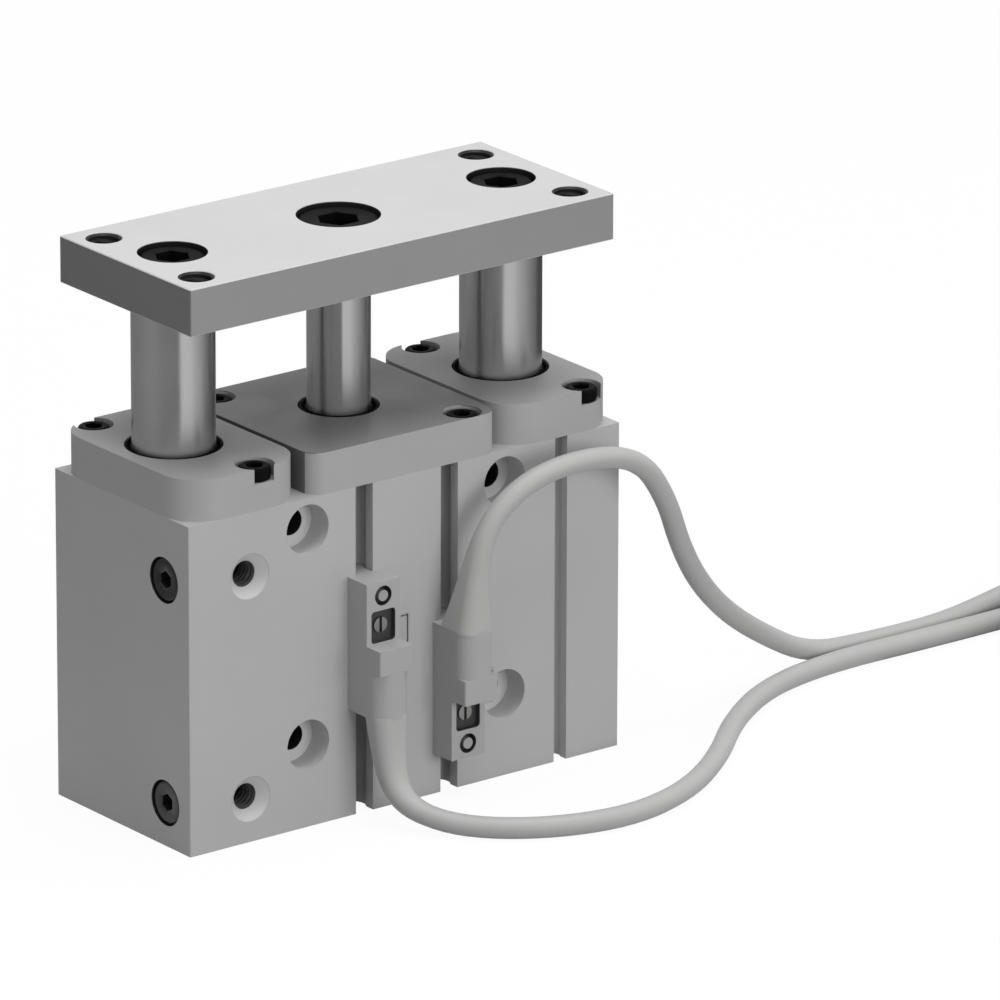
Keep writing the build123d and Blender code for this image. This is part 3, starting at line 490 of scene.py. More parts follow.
def build_painted_light_and_shade(tree, links, given, put):
    """Painted light and shade: Bore inside the box from Low to High, where only bores and recesses have a
    surface; elsewhere Top where the normal runs along Z, End where it runs along X, and Side for the rest."""
    vector_math = "ShaderNodeVectorMath"
    size = operation_node(tree, "ABSOLUTE", vector_math)
    above = operation_node(tree, "SUBTRACT", vector_math)
    below = operation_node(tree, "SUBTRACT", vector_math)
    least = operation_node(tree, "MINIMUM", vector_math)
    parts, reach = tree.new("ShaderNodeSeparateXYZ"), tree.new("ShaderNodeSeparateXYZ")
    flat, nearest = operation_node(tree, "MINIMUM"), operation_node(tree, "MINIMUM")
    for source, target in (
        (given.outputs["Normal"], size.inputs[0]),
        (size.outputs["Vector"], parts.inputs["Vector"]),
        (given.outputs["Vector"], above.inputs[0]),
        (given.outputs["Low"], above.inputs[1]),
        (given.outputs["High"], below.inputs[0]),
        (given.outputs["Vector"], below.inputs[1]),
        (above.outputs["Vector"], least.inputs[0]),
        (below.outputs["Vector"], least.inputs[1]),
        (least.outputs["Vector"], reach.inputs["Vector"]),
        (reach.outputs["X"], flat.inputs[0]),
        (reach.outputs["Y"], flat.inputs[1]),
        (flat.outputs["Value"], nearest.inputs[0]),
        (reach.outputs["Z"], nearest.inputs[1]),
    ):
        links.new(source, target)
    tone = given.outputs["Side"]
    tests = (
        (parts.outputs["X"], 0.6, "End"),
        (parts.outputs["Z"], 0.6, "Top"),
        (nearest.outputs["Value"], 0.0, "Bore"),
    )
    for source, limit, name in tests:
        test, mix = operation_node(tree, "GREATER_THAN"), tree.new("ShaderNodeMix")
        test.inputs[1].default_value = limit
        mix.data_type = "RGBA"
        links.new(source, test.inputs[0])
        links.new(test.outputs["Value"], mix.inputs["Factor"])
        links.new(tone, mix.inputs[6])
        links.new(given.outputs[name], mix.inputs[7])
        tone = mix.outputs[2]
    links.new(tone, put.inputs["Color"])


def make_groups():
    """The shared groups: grain for bump, mottle for colour, handling marks for roughness, painted light and
    shade by face.
    """
    vector = ("Vector", "NodeSocketVector", None)
    scale = ("Scale", "NodeSocketFloat", 40.0)
    amount = ("Amount", "NodeSocketFloat", 0.05)
    value_group("fine_grain", [vector], [("Height", "NodeSocketFloat")], build_grain)
    value_group(
        "soft_mottle",
        [vector, ("Color", "NodeSocketColor", (0.5, 0.5, 0.5, 1.0)), amount, scale],
        [("Color", "NodeSocketColor")],
        build_mottle,
    )
    value_group(
        "handling_marks",
        [vector, ("Roughness", "NodeSocketFloat", 0.5), amount, scale],
        [("Roughness", "NodeSocketFloat")],
        build_handling,
    )
    places = [(name, "NodeSocketVector", None) for name in ("Vector", "Normal", "Low", "High")]
    tones = [(name, "NodeSocketColor", (0.5, 0.5, 0.5, 1.0)) for name in ("Top", "Side", "End", "Bore")]
    value_group("painted_light_and_shade", places + tones, [("Color", "NodeSocketColor")], build_painted_light_and_shade)


def make_finish(
    name,
    colour,
    roughness,
    metallic=0.0,
    mottle=0.03,
    mottle_size=25.0,
    marks=0.05,
    marks_size=12.0,
    grain=(0.3, 0.3, 0.3),
    grain_depth=0.004,
    **sockets,
):
    """Principled material: mottled colour, roughness with handling marks, and a grain bump. The grain's size
    along each axis, its depth and the sizes of mottle and marks are in millimetres. Further values are named
    as the shader's sockets are, in small letters with underscores."""
    material, tree, links = new_material(f"{name}_finish")
    shader = tree["Principled BSDF"]
    shader.inputs["Metallic"].default_value = metallic
    for socket, value in sockets.items():
        shader.inputs[socket.replace("_", " ").title().replace("Ior", "IOR")].default_value = value
    place = tree.new("ShaderNodeTexCoord")
    stretch = tree.new("ShaderNodeMapping")
    stretch.inputs["Scale"].default_value = [1 / (size * MM) for size in grain]
    grain_group, mottle_group, marks_group = (tree.new("ShaderNodeGroup") for _ in range(3))
    grain_group.node_tree = bpy.data.node_groups["fine_grain"]
    mottle_group.node_tree = bpy.data.node_groups["soft_mottle"]
    marks_group.node_tree = bpy.data.node_groups["handling_marks"]
    mottle_group.inputs["Color"].default_value = (*colour, 1.0)
    mottle_group.inputs["Amount"].default_value = mottle
    mottle_group.inputs["Scale"].default_value = 1 / (mottle_size * MM)
    marks_group.inputs["Roughness"].default_value = roughness
    marks_group.inputs["Amount"].default_value = marks
    marks_group.inputs["Scale"].default_value = 1 / (marks_size * MM)
    bump = tree.new("ShaderNodeBump")
    bump.inputs["Distance"].default_value = grain_depth * MM
    links.new(place.outputs["Object"], stretch.inputs["Vector"])
    links.new(stretch.outputs["Vector"], grain_group.inputs["Vector"])
    links.new(grain_group.outputs["Height"], bump.inputs["Height"])
    links.new(bump.outputs["Normal"], shader.inputs["Normal"])
    links.new(place.outputs["Object"], mottle_group.inputs["Vector"])
    links.new(mottle_group.outputs["Color"], shader.inputs["Base Color"])
    links.new(place.outputs["Object"], marks_group.inputs["Vector"])
    links.new(marks_group.outputs["Roughness"], shader.inputs["Roughness"])
    return material


def paint_light_and_shade(material, faces, spaces):
    """Paints light and shade into a material: one tone for faces that look along Z, one along Y and one along
    X, and then a tone for each space where only bores and recesses have a surface: its low corner, its high
    corner and the tone."""
    tree, links = material.node_tree.nodes, material.node_tree.links
    mottle = next(node for node in tree if node.type == "GROUP" and node.node_tree.name == "soft_mottle")
    place = next(node for node in tree if node.type == "TEX_COORD")
    inset = Vector((1.0, 1.0, 1.0)) * RECESS_MARGIN
    tone = None
    for low, high, inside in spaces:
        tones = tree.new("ShaderNodeGroup")
        tones.node_tree = bpy.data.node_groups["painted_light_and_shade"]
        tones.inputs["Low"].default_value = low + inset
        tones.inputs["High"].default_value = high - inset
        tones.inputs["Bore"].default_value = (*inside, 1.0)
        for name, colour in zip(("Top", "Side", "End"), faces):
            if tone:
                links.new(tone, tones.inputs[name])
            else:
                tones.inputs[name].default_value = (*colour, 1.0)
        links.new(place.outputs["Object"], tones.inputs["Vector"])
        links.new(place.outputs["Normal"], tones.inputs["Normal"])
        tone = tones.outputs["Color"]
    links.new(tone, mottle.inputs["Color"])


# ---------------------------------------------------------------- settings


COLOUR = {"subtype": "COLOR", "size": 3, "min": 0, "max": 1}
SHARE = {"subtype": "FACTOR", "min": 0, "max": 1}
LENGTH = {"unit": "LENGTH", "min": 0}
POWER = {"unit": "POWER", "min": 0}


class FinishSettings(PropertyGroup):
    """Colours and roughness of the metal, rubber and plastic, and the painted light and shade on faces of the
    caps, rod cover and end plate.
    """

    body_colour: FloatVectorProperty(
        name="Body", description="Anodised body", default=(0.455, 0.46, 0.457), **COLOUR
    )
    cap_colour: FloatVectorProperty(
        name="Caps", description="Anodised caps and rod cover", default=(0.395, 0.40, 0.397), **COLOUR
    )
    # Painted shade: the caps' tops are drawn darker than their sides, as the end plate above shades them
    cap_top_painted_shade: FloatVectorProperty(
        name="Cap tops", description="Milled tops of the caps", default=(0.33, 0.333, 0.33), **COLOUR
    )
    # Painted shade: the rod cover's top is drawn darker, as the end plate and rods above shade it
    cover_top_painted_shade: FloatVectorProperty(
        name="Cover top", description="Milled top of the rod cover", default=(0.19, 0.192, 0.191), **COLOUR
    )
    # Painted light and shade: the end plate's top is drawn lighter, its sides darker and its ends darkest, as
    # the light falls from above and in front
    plate_top_painted_light: FloatVectorProperty(
        name="End plate", description="Milled top of the end plate", default=(0.585, 0.588, 0.585), **COLOUR
    )
    plate_side_painted_shade: FloatVectorProperty(
        name="Plate sides", description="Drawn sides of the plate", default=(0.285, 0.288, 0.286), **COLOUR
    )
    plate_end_painted_shade: FloatVectorProperty(
        name="Plate ends", description="Sawn ends of the end plate", default=(0.2, 0.202, 0.201), **COLOUR
    )
    rod_colour: FloatVectorProperty(
        name="Rods", description="Ground and chromed rods", default=(0.46, 0.46, 0.46), **COLOUR
    )
    screw_colour: FloatVectorProperty(
        name="Screws", description="Blackened screws", default=(0.005, 0.005, 0.0055), **COLOUR
    )
    switch_colour: FloatVectorProperty(
        name="Switches", description="Switch housings", default=(0.395, 0.397, 0.395), **COLOUR
    )
    lead_colour: FloatVectorProperty(
        name="Leads", description="Jacket and boots of the leads", default=(0.44, 0.44, 0.436), **COLOUR
    )
    body_roughness: FloatProperty(
        name="Anodising", description="Roughness of the anodised surfaces", default=0.48, **SHARE
    )
    rod_roughness: FloatProperty(
        name="Rod polish", description="Roughness of the rods", default=0.25, **SHARE
    )


class RodSettings(PropertyGroup):
    """Edges of the rods and the lips of the wipers."""

    rod_edge: FloatProperty(
        name="Rod edge", description="Chamfer at the ends of the rods", default=0.6 * MM, **LENGTH
    )
    lip_height: FloatProperty(
        name="Lip", description="Depth of the dish behind each wiping lip", default=0.9 * MM, **LENGTH
    )
    columns: IntProperty(name="Steps around", description="Facets around a rod", min=24, default=160)


class ScrewSettings(PropertyGroup):
    """Knurling and threads of the screws."""

    knurls: IntProperty(name="Knurls", description="Ridges around a screw head", min=0, default=36)
    knurl_depth: FloatProperty(
        name="Knurl depth", description="Depth of the ridges", default=0.06 * MM, **LENGTH
    )
    edge: FloatProperty(name="Head edge", description="Rounding of a head's rim", default=0.3 * MM, **LENGTH)
    port_pitch: FloatProperty(
        name="Port thread", description="Pitch in the ports and the bottom face", default=0.8 * MM, **LENGTH
    )
    plate_pitch: FloatProperty(
        name="Plate thread", description="Pitch in the end plate", default=1.0 * MM, **LENGTH
    )


class LeadSettings(PropertyGroup):
    """Leads of the switches."""

    diameter: FloatProperty(
        name="Diameter", description="Diameter of the jacket", unit="LENGTH", min=0.5 * MM, default=3.4 * MM
    )
    boot_length: FloatProperty(
        name="Boot", description="Length of the moulded boot at a switch", default=18.0 * MM, **LENGTH
    )
    wire_diameter: FloatProperty(
        name="Wire", description="Diameter of an insulated wire", default=1.2 * MM, **LENGTH
    )


class StageSettings(PropertyGroup):
    """Light and floor."""

    key_strength: FloatProperty(
        name="Top light", description="Power of the soft light overhead", default=7.5, **POWER
    )
    fill_strength: FloatProperty(
        name="Front light", description="Power of the low soft light in front", default=6.9, **POWER
    )
    ambient: FloatProperty(
        name="Ambient", description="Strength of the light from all around", default=0.405, **SHARE
    )
    floor_grey: FloatProperty(
        name="Floor grey", description="Share of light that the floor throws back", default=0.35, **SHARE
    )
    floor_white: FloatProperty(
        name="Floor white", description="Share of plain white in the floor", default=0.94, **SHARE
    )


# ---------------------------------------------------------------- operators


class CYLINDER_OT_finish_metalwork(Operator):
    """Make every finish and give it to the pieces that keep their CAD shape"""

    bl_idname = "cylinder.finish_metalwork"
    bl_label = "Finish metalwork"

    def execute(self, context):
        wanted = context.scene.cylinder_finish
        make_groups()
        body, cap, plate, switch = (
            tuple(colour)
            for colour in (wanted.body_colour, wanted.cap_colour, wanted.plate_top_painted_light, wanted.switch_colour)
        )
        rough, polish, rods = wanted.body_roughness, wanted.rod_roughness, wanted.rod_colour
        along_z = {"grain": (0.12, 0.12, 14.0), "grain_depth": 0.003}
        along_x = {"grain": (14.0, 0.12, 0.12), "grain_depth": 0.003}
        body_finish = make_finish("body_anodised", body, rough, **along_z, **MATT)
        cap_finish = make_finish("cap_anodised", cap, rough, grain=(0.2, 0.2, 0.2), **MATT)
        plate_finish = make_finish("plate_satin", plate, rough, **along_x, **MATT)
        cover_finish = make_finish("cover_anodised", cap, rough, grain=(0.2, 0.2, 0.2), **MATT)
        make_finish("port_shade", PORT_SHADE, rough, **MATT)
        switch_grain = {"grain": (0.12, 0.12, 0.12)}
        switch_finish = make_finish("switch_plastic", switch, 0.55, mottle=0.02, **switch_grain, **MATT)
        make_finish("rod_ground", rods, polish, metallic=1.0, grain_depth=0.0005, **DRAWN)
        make_finish("rod_chromed", rods, polish, metallic=1.0, grain_depth=0.0004, **DRAWN)
        oxide_grain = {"grain": (0.15, 0.15, 0.15)}
        make_finish("black_oxide", wanted.screw_colour, 0.55, specular_ior_level=0.03, **oxide_grain)
        lead_grain = {"grain": (0.2, 0.2, 0.2), "grain_depth": 0.003}
        make_finish("lead_jacket", wanted.lead_colour, 0.5, mottle=0.02, **lead_grain, **MATT)
        for name, values in FIXED_FINISHES.items():
            make_finish(name, **values)

        # Painted light and shade in the body: its grooves and the mouths of its holes are drawn lighter than
        # the anodising, and holes deeper than the grooves are painted dark
        groove_painted_light = [GROOVE_PAINTED_LIGHT * value for value in body]
        behind_grooves = Vector((body_low.x, body_low.y + GROOVE_DEPTH, body_low.z))
        spaces = [(body_low, body_high, groove_painted_light), (behind_grooves, body_high, DEEP_SHADE)]
        paint_light_and_shade(body_finish, (body, body, body), spaces)
        # Painted light on the end plate's top, painted shade on its sides and ends, and painted shade in its
        # holes
        faces = (plate, wanted.plate_side_painted_shade, wanted.plate_end_painted_shade)
        paint_light_and_shade(plate_finish, faces, [(plate_low, plate_high, PLATE_HOLE_SHADE)])
        # Painted shade on the caps' tops, which the end plate above shades
        paint_light_and_shade(cap_finish, (wanted.cap_top_painted_shade, cap, cap), [(*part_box("left_guide_cap"), cap)])
        # Painted shade on the rod cover's top, under the end plate, and on its ends, beside the caps
        faces = (wanted.cover_top_painted_shade, cap, [COVER_END_PAINTED_SHADE * value for value in cap])
        paint_light_and_shade(cover_finish, faces, [(*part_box("rod_cover"), cap)])
        # Painted shade in each switch's pocket and lens well
        spaces = [self.recesses(side, ends) for side, ends in SWITCH_FREE_ENDS.items()]
        paint_light_and_shade(switch_finish, (switch, switch, switch), spaces)

        for finish, names in KEPT_PIECES.items():
            for name in names:
                nodes[name].data.materials.clear()
                nodes[name].data.materials.append(bpy.data.materials[f"{finish}_finish"])
        return {"FINISHED"}

    def recesses(self, side, ends):
        """The space of a switch's pocket and lens well, behind the face that its lens ends in, and the tone
        of the shade painted there."""
        low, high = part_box(f"{side}_switch_lens")
        middle, back = (low.x + high.x) / 2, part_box(f"{side}_switch_housing")[1].y
        first = Vector((middle - SWITCH_WIDTH / 2, low.y, ends[0]))
        last = Vector((middle + SWITCH_WIDTH / 2, back, ends[1]))
        return first, last, SWITCH_RECESS_SHADE


class CYLINDER_OT_add_rods(Operator):
    """Add both guide rods and the piston rod, with chamfered ends and tapped holes for their screws"""

    bl_idname = "cylinder.add_rods"
    bl_label = "Add rods"

    def execute(self, context):
        wanted = context.scene.cylinder_rods
        edge = wanted.rod_edge
        for name in ("left_guide_rod", "right_guide_rod"):
            low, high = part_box(name)
            radius = (high.x - low.x) / 2
            foot = [(0, low.z), (radius - edge, low.z), (radius, low.z + edge)]
            rod = turned(eased(foot + self.rod_head(radius, high.z, edge), ROD_EASE), wanted.columns)
            rod = aimed(rod, ((low.x + high.x) / 2, 0, 0))
            add_piece(f"{name}_ground", [rod], "rod_ground", CARRIAGE, (name,))
        low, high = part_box("piston_rod")
        radius, shoulder = (high.x - low.x) / 2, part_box("piston")[1].z
        foot = [
            (0, low.z),
            (STEM_RADIUS - edge / 2, low.z),
            (STEM_RADIUS, low.z + edge / 2),
            (STEM_RADIUS, shoulder),
            (radius - edge / 3, shoulder),
            (radius, shoulder + edge / 3),
        ]
        rod = turned(eased(foot + self.rod_head(radius, high.z, edge), ROD_EASE), wanted.columns)
        add_piece("piston_rod_chromed", [rod], "rod_chromed", CARRIAGE, ("piston_rod",))
        return {"FINISHED"}

    def rod_head(self, radius, top, edge):
        """Profile corners of a rod's upper end: chamfer, end face and tapped hole with the drill's tip."""
        bottom = top - ROD_HOLE_DEPTH
        return [
            (radius, top - edge / 3),
            (radius - edge / 3, top),
            (ROD_HOLE_RADIUS + edge / 2, top),
            (ROD_HOLE_RADIUS, top - edge / 2),
            (ROD_HOLE_RADIUS, bottom),
            (0, bottom - DRILL_TIP),
        ]


class CYLINDER_OT_add_wipers(Operator):
    """Add the rod wipers and the rod seal, each with a dish and a wiping lip"""

    bl_idname = "cylinder.add_wipers"
    bl_label = "Add wipers"

    def execute(self, context):
        wanted = context.scene.cylinder_rods
        for name, inner in WIPER_RADII.items():
            low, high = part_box(name)
            outer, top, dish = (high.x - low.x) / 2, high.z, wanted.lip_height
            rim = outer - inner
            corners = [
                (inner + 0.1 * rim, low.z),
                (outer, low.z),
                (outer, top - 0.3 * MM),
                (outer - 0.25 * MM, top),
                (outer - 0.35 * rim, top),
                (inner + 0.42 * rim, top - dish),
                (inner + 0.12 * rim, top - 0.1 * MM),
                (inner, top - 0.25 * MM),
                (inner + 0.1 * rim, top - dish),
                (inner + 0.1 * rim, low.z),
            ]
            ring = aimed(turned(eased(corners, LIP_EASE), wanted.columns), ((low.x + high.x) / 2, 0, 0))
            add_piece(f"{name}_lipped", [ring], "black_rubber", BARREL, (name,))
        return {"FINISHED"}


def socket_screw(sizes, wanted, pitch, columns=144):
    """Socket screw standing on its seat: a turned profile of chamfered end, threaded shank and knurled head,
    then a hexagonal socket. The shank's radius is less by the thread's depth times 1 less the thread's wave,
    and the head's side is less by half the knurl depth times 1 less the cosine of the knurls around it."""
    head, height, thread, length, key, sink = sizes
    turn = angles(columns)
    radius, shank, edge = head / 2, thread / 2, min(wanted.edge, height / 3)
    depth = SCREW_DEPTH_SHARE * pitch
    shank_heights = np.arange(-length + 2 * pitch, -pitch, pitch / 4)[:, None]
    shank_radii = shank - depth * (1 - thread_wave(shank_heights, turn[None, :], pitch))
    end = np.array([(0, -length), (shank - depth, -length), (shank - 0.3 * depth, -length + pitch)])
    root = shank - 0.2 * depth
    corners = [(root, -pitch), (root, 0), (radius - edge, 0), (radius, edge), (radius, height - edge)]
    corners += [(radius - edge, height), (key * 0.62, height)]
    head_rows = eased(corners, edge)
    knurled = (np.abs(head_rows[:, :1] - radius) < 1e-9) * wanted.knurl_depth / 2
    head_radii = head_rows[:, :1] - knurled * (1 - np.cos(wanted.knurls * turn))
    rows = [
        round_points(end[:, :1], end[:, 1:], turn),
        round_points(shank_radii, shank_heights, turn),
        round_points(head_radii, head_rows[:, 1:], turn),
    ]
    socket = hexagon(key, turn)[None, :]
    floor = height - sink
    for share, level in ((1.0, height - 0.12 * MM), (1.0, floor), (0.0, floor - 0.25 * key)):
        rows.append(round_points(share * socket, level, turn))
    return np.concatenate(rows)


class CYLINDER_OT_add_screws(Operator):
    """Add the screws of the caps, the rod cover and the end plate"""

    bl_idname = "cylinder.add_screws"
    bl_label = "Add screws"

    def execute(self, context):
        wanted = context.scene.cylinder_screws
        cap_screw = socket_screw(CAP_SCREW, wanted, CAP_SCREW_PITCH)
        guide_screw = socket_screw(GUIDE_SCREW, wanted, PLATE_SCREW_PITCH)
        rod_screw = socket_screw(ROD_SCREW, wanted, PLATE_SCREW_PITCH)
        cap_places = [(x * MM, y * MM, cap_screw_seat) for x, y in CAP_SCREW_POINTS]
        guide_places = [(x, 0, plate_screw_seat) for x in (-guide_x, guide_x)]
        for name, screw, places, body in (
            ("cap_screws", cap_screw, cap_places, BARREL),
            ("guide_rod_screws", guide_screw, guide_places, CARRIAGE),
            ("piston_rod_screw", rod_screw, [(0, 0, plate_screw_seat)], CARRIAGE),
        ):
            spots = [aimed(screw, place) for place in places]
            add_piece(f"{name}_black", spots, "black_oxide", body, (name,))
        return {"FINISHED"}


class CYLINDER_OT_add_port_plugs(Operator):
    """Add the two plugs of the side ports"""

    bl_idname = "cylinder.add_port_plugs"
    bl_label = "Add port plugs"

    def execute(self, context):
        wanted = context.scene.cylinder_screws
        plug = socket_screw(PORT_PLUG, wanted, wanted.port_pitch)
        spots = [aimed(plug, (plug_seat_x, side_port_y, level), (-1, 0, 0)) for level in PORT_LEVELS]
        add_piece("port_plugs_black", spots, "plug_oxide", BARREL, ("port_plugs",))
        return {"FINISHED"}


def thread_sleeve(radius, length, pitch, columns=48):
    """Thin threaded lining of a tapped hole, along +Z from 0: the outside stays a hair off the hole's wall,
    and the inside's radius is less than that by the thread's depth times the thread's wave. The thread fades
    out over the first and last pitch."""
    turn = angles(columns)[None, :]
    outer, depth = radius - LINING_GAP, TAP_DEPTH_SHARE * pitch
    heights = np.linspace(length, 0.0, max(8, int(length / pitch * 6)))[:, None]
    fade = np.clip(np.minimum(heights, length - heights) / pitch, 0, 1)
    inside = outer - LINING_WALL - depth * fade * thread_wave(heights, turn, pitch)
    wall = round_points(outer, np.array([[0.0], [length]]), turn)
    return np.concatenate([wall, round_points(inside, heights, turn)])


class CYLINDER_OT_add_threads(Operator):
    """Add the threads that show in the end plate, the front ports and the bottom face"""

    bl_idname = "cylinder.add_threads"
    bl_label = "Add threads"

    def execute(self, context):
        wanted = context.scene.cylinder_screws
        start = plate_low.z + PLATE_THREAD_MARGIN
        sleeve = thread_sleeve(PLATE_TAP, plate_high.z - PLATE_THREAD_MARGIN - start, wanted.plate_pitch)
        spots = [aimed(sleeve, (x * MM, y * MM, start)) for x, y in PLATE_HOLES]
        add_piece("plate_threads", spots, "plate_satin", CARRIAGE, loop_rows=True)
        sleeve = thread_sleeve(PORT_TAP, PORT_THREAD_LENGTH, wanted.port_pitch)
        start = front + PORT_THREAD_START
        spots = [aimed(sleeve, (port_x, start, level), (0, 1, 0)) for level in PORT_LEVELS]
        add_piece("port_threads", spots, "port_shade", BARREL, loop_rows=True)
        sleeve = thread_sleeve(PORT_TAP, BOTTOM_THREAD_LENGTH, wanted.port_pitch)
        spots = [aimed(sleeve, (x * MM, 0, BOTTOM_THREAD_START)) for x in BOTTOM_HOLES_X]
        add_piece("bottom_threads", spots, "body_anodised", BARREL, loop_rows=True)
        return {"FINISHED"}


def spline_points(lead):
    """Points along a lead's own NURBS spline, read from its curve while that has no bevel."""
    line = bpy.data.meshes.new_from_object(lead)
    points = np.empty(3 * len(line.vertices))
    line.vertices.foreach_get("co", points)
    bpy.data.meshes.remove(line)
    return points.reshape(-1, 3)


def boot_surface(line, side, depth, taper, length, lead_radius, columns=64):
    """Moulded boot around a lead: it follows the lead's own line from a little inside the switch. At the
    share t of its length the section is w times the housing's nose plus 1-w times the lead's circle, point by
    point, with w = (1-t) to the power of the taper. The section stands in the plane of X less its part along
    the tangent T, and of the cross product of T with that. Side is 1 where the lead leaves upwards and -1
    where it leaves down."""
    reach = np.concatenate([[0.0], np.cumsum(np.linalg.norm(np.diff(line, axis=0), axis=1))])
    steps = np.linspace(0.0, length, 28)
    path = np.stack([np.interp(steps, reach, line[:, axis]) for axis in range(3)], axis=-1)
    tangent = np.gradient(path, axis=0)
    tangent /= np.linalg.norm(tangent, axis=1, keepdims=True)
    aside = np.array([1.0, 0.0, 0.0]) - tangent[:, :1] * tangent
    aside /= np.linalg.norm(aside, axis=1, keepdims=True)
    inward = -side * np.cross(aside, tangent)
    turn = angles(columns) + np.pi / columns
    corner = np.where(np.sin(turn) > 0, BOOT_INNER_CORNER, BOOT_OUTER_CORNER)
    nose = rounded_rectangle(BOOT_WIDTH, depth, corner, columns) + np.array([0.0, depth / 2 - BOOT_BACK])
    circle = lead_radius * 1.01 * np.stack([np.cos(turn), np.sin(turn)], axis=-1)
    weight = (1 - steps[:, None, None] / length) ** taper
    section = weight * nose + (1 - weight) * circle
    rows = path[:, None, :] + section[..., :1] * aside[:, None, :] + section[..., 1:] * inward[:, None, :]
    rows = np.concatenate([rows[:1] - BOOT_ROOT * tangent[0], rows])
    first = np.broadcast_to(rows[0].mean(axis=0), (1, columns, 3))
    last = np.broadcast_to(path[-1], (1, columns, 3))
    surface = np.concatenate([first, rows, last])
    return surface if side > 0 else surface[::-1]


def coil_points(level, end_turn, diameter):
    """Control points of a flat coil wound clockwise from the top of its first turn: radius = the outer turn
    less one lead diameter for each whole turn, enlarged by 1 over the cosine of half a step, because the
    spline runs inside its points. The last point is on the coil's own radius."""
    sweep = 2 * 360.0 + 90.0 - end_turn
    count = round(sweep / 360.0 * COIL_POINTS_PER_TURN)
    step = sweep / count
    wound = np.linspace(step, sweep, count)
    radius = COIL_OUTER_TURN - diameter / MM * wound / 360.0
    radius[:-1] /= np.cos(np.radians(step / 2))
    turn = np.radians(90.0 - wound)
    x = COIL_CENTRE[0] + radius * np.cos(turn)
    y = COIL_CENTRE[1] + radius * np.sin(turn)
    return np.stack([x, y, np.full_like(x, level)], axis=-1)


class CYLINDER_OT_add_leads(Operator):
    """Add both leads with their moulded boots, their coils and the wires at their far ends"""

    bl_idname = "cylinder.add_leads"
    bl_label = "Add leads"

    def execute(self, context):
        wanted = context.scene.cylinder_leads
        for name, route, boot_shape, end_turn, length in LEADS:
            level = route[-1][2]
            points = np.concatenate([np.array(route), coil_points(level, end_turn, wanted.diameter)]) * MM
            curve = bpy.data.curves.new(f"{name}_lead_jacket", "CURVE")
            curve.dimensions = "3D"
            curve.resolution_u = 6
            spline = curve.splines.new("NURBS")
            spline.points.add(len(points) - 1)
            spline.points.foreach_set("co", np.column_stack([points, np.ones(len(points))]).ravel())
            spline.order_u = 3
            spline.use_endpoint_u = True
            spline.use_smooth = True
            curve.materials.append(bpy.data.materials["lead_jacket_finish"])
            lead = bpy.data.objects.new(f"{name}_lead_jacket", curve)
            context.scene.collection.objects.link(lead)
            line = spline_points(lead)
            curve.bevel_depth = wanted.diameter / 2
            curve.bevel_resolution = 7
            curve.use_fill_caps = True
            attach(lead, BARREL)
            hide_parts(f"{name}_lead", f"{name}_lead_coil")
            surface = boot_surface(line, *boot_shape, wanted.boot_length, wanted.diameter / 2)
            boot = add_piece(f"{name}_switch_boot", [surface], "lead_jacket", BARREL, sharp=60)
            wires = self.add_wires(name, points[-1], end_turn, wanted)
        return {"FINISHED"}

    def add_wires(self, name, end, end_turn, wanted):
        """Two insulated wires out of the jacket's end: each bends from the coil's direction towards -X, and
        its radius steps down from the insulation to the bare copper near its tip."""
        turn = math.radians(end_turn)
        ahead = np.array([math.sin(turn), -math.cos(turn), 0.0])
        aside = np.array([math.cos(turn), math.sin(turn), 0.0])
        radius = wanted.wire_diameter / 2
        low = WIRE_SPACE_BELOW + 2 * radius
        made = []
        for colour, shift, reach in WIRES:
            start = end - 1.0 * MM * ahead + shift * MM * aside
            corner = end + 4.0 * MM * ahead + shift * MM * aside
            tip = np.array([end[0] - reach * MM, corner[1] - shift * 1.2 * MM, low])
            path = parabola_path(start, corner, tip)
            for piece, part, size, finish, replaced in (
                ("insulation", path[:INSULATED_POINTS], radius, f"wire_{colour}", (f"{name}_lead_wires",)),
                ("strands", path[INSULATED_POINTS - 1 :], radius * STRAND_SHARE, "copper", ()),
            ):
                piece_name = f"{name}_wire_{colour}_{piece}"
                tube = self.closed_tube(part, size)
                made.append(add_piece(piece_name, [tube], finish, BARREL, replaced))
        return made

    def closed_tube(self, path, radius):
        """Round tube along a path whose ends are closed by a point a hair beyond each."""
        hair = 1e-6
        whole = np.concatenate([path[:1], path, path[-1:]])
        whole[0] -= hair * (path[1] - path[0]) / np.linalg.norm(path[1] - path[0])
        whole[-1] += hair * (path[-1] - path[-2]) / np.linalg.norm(path[-1] - path[-2])
        radii = np.full(len(whole), radius)
        radii[[0, -1]] = 0.0
        return tube_along(whole, radii)


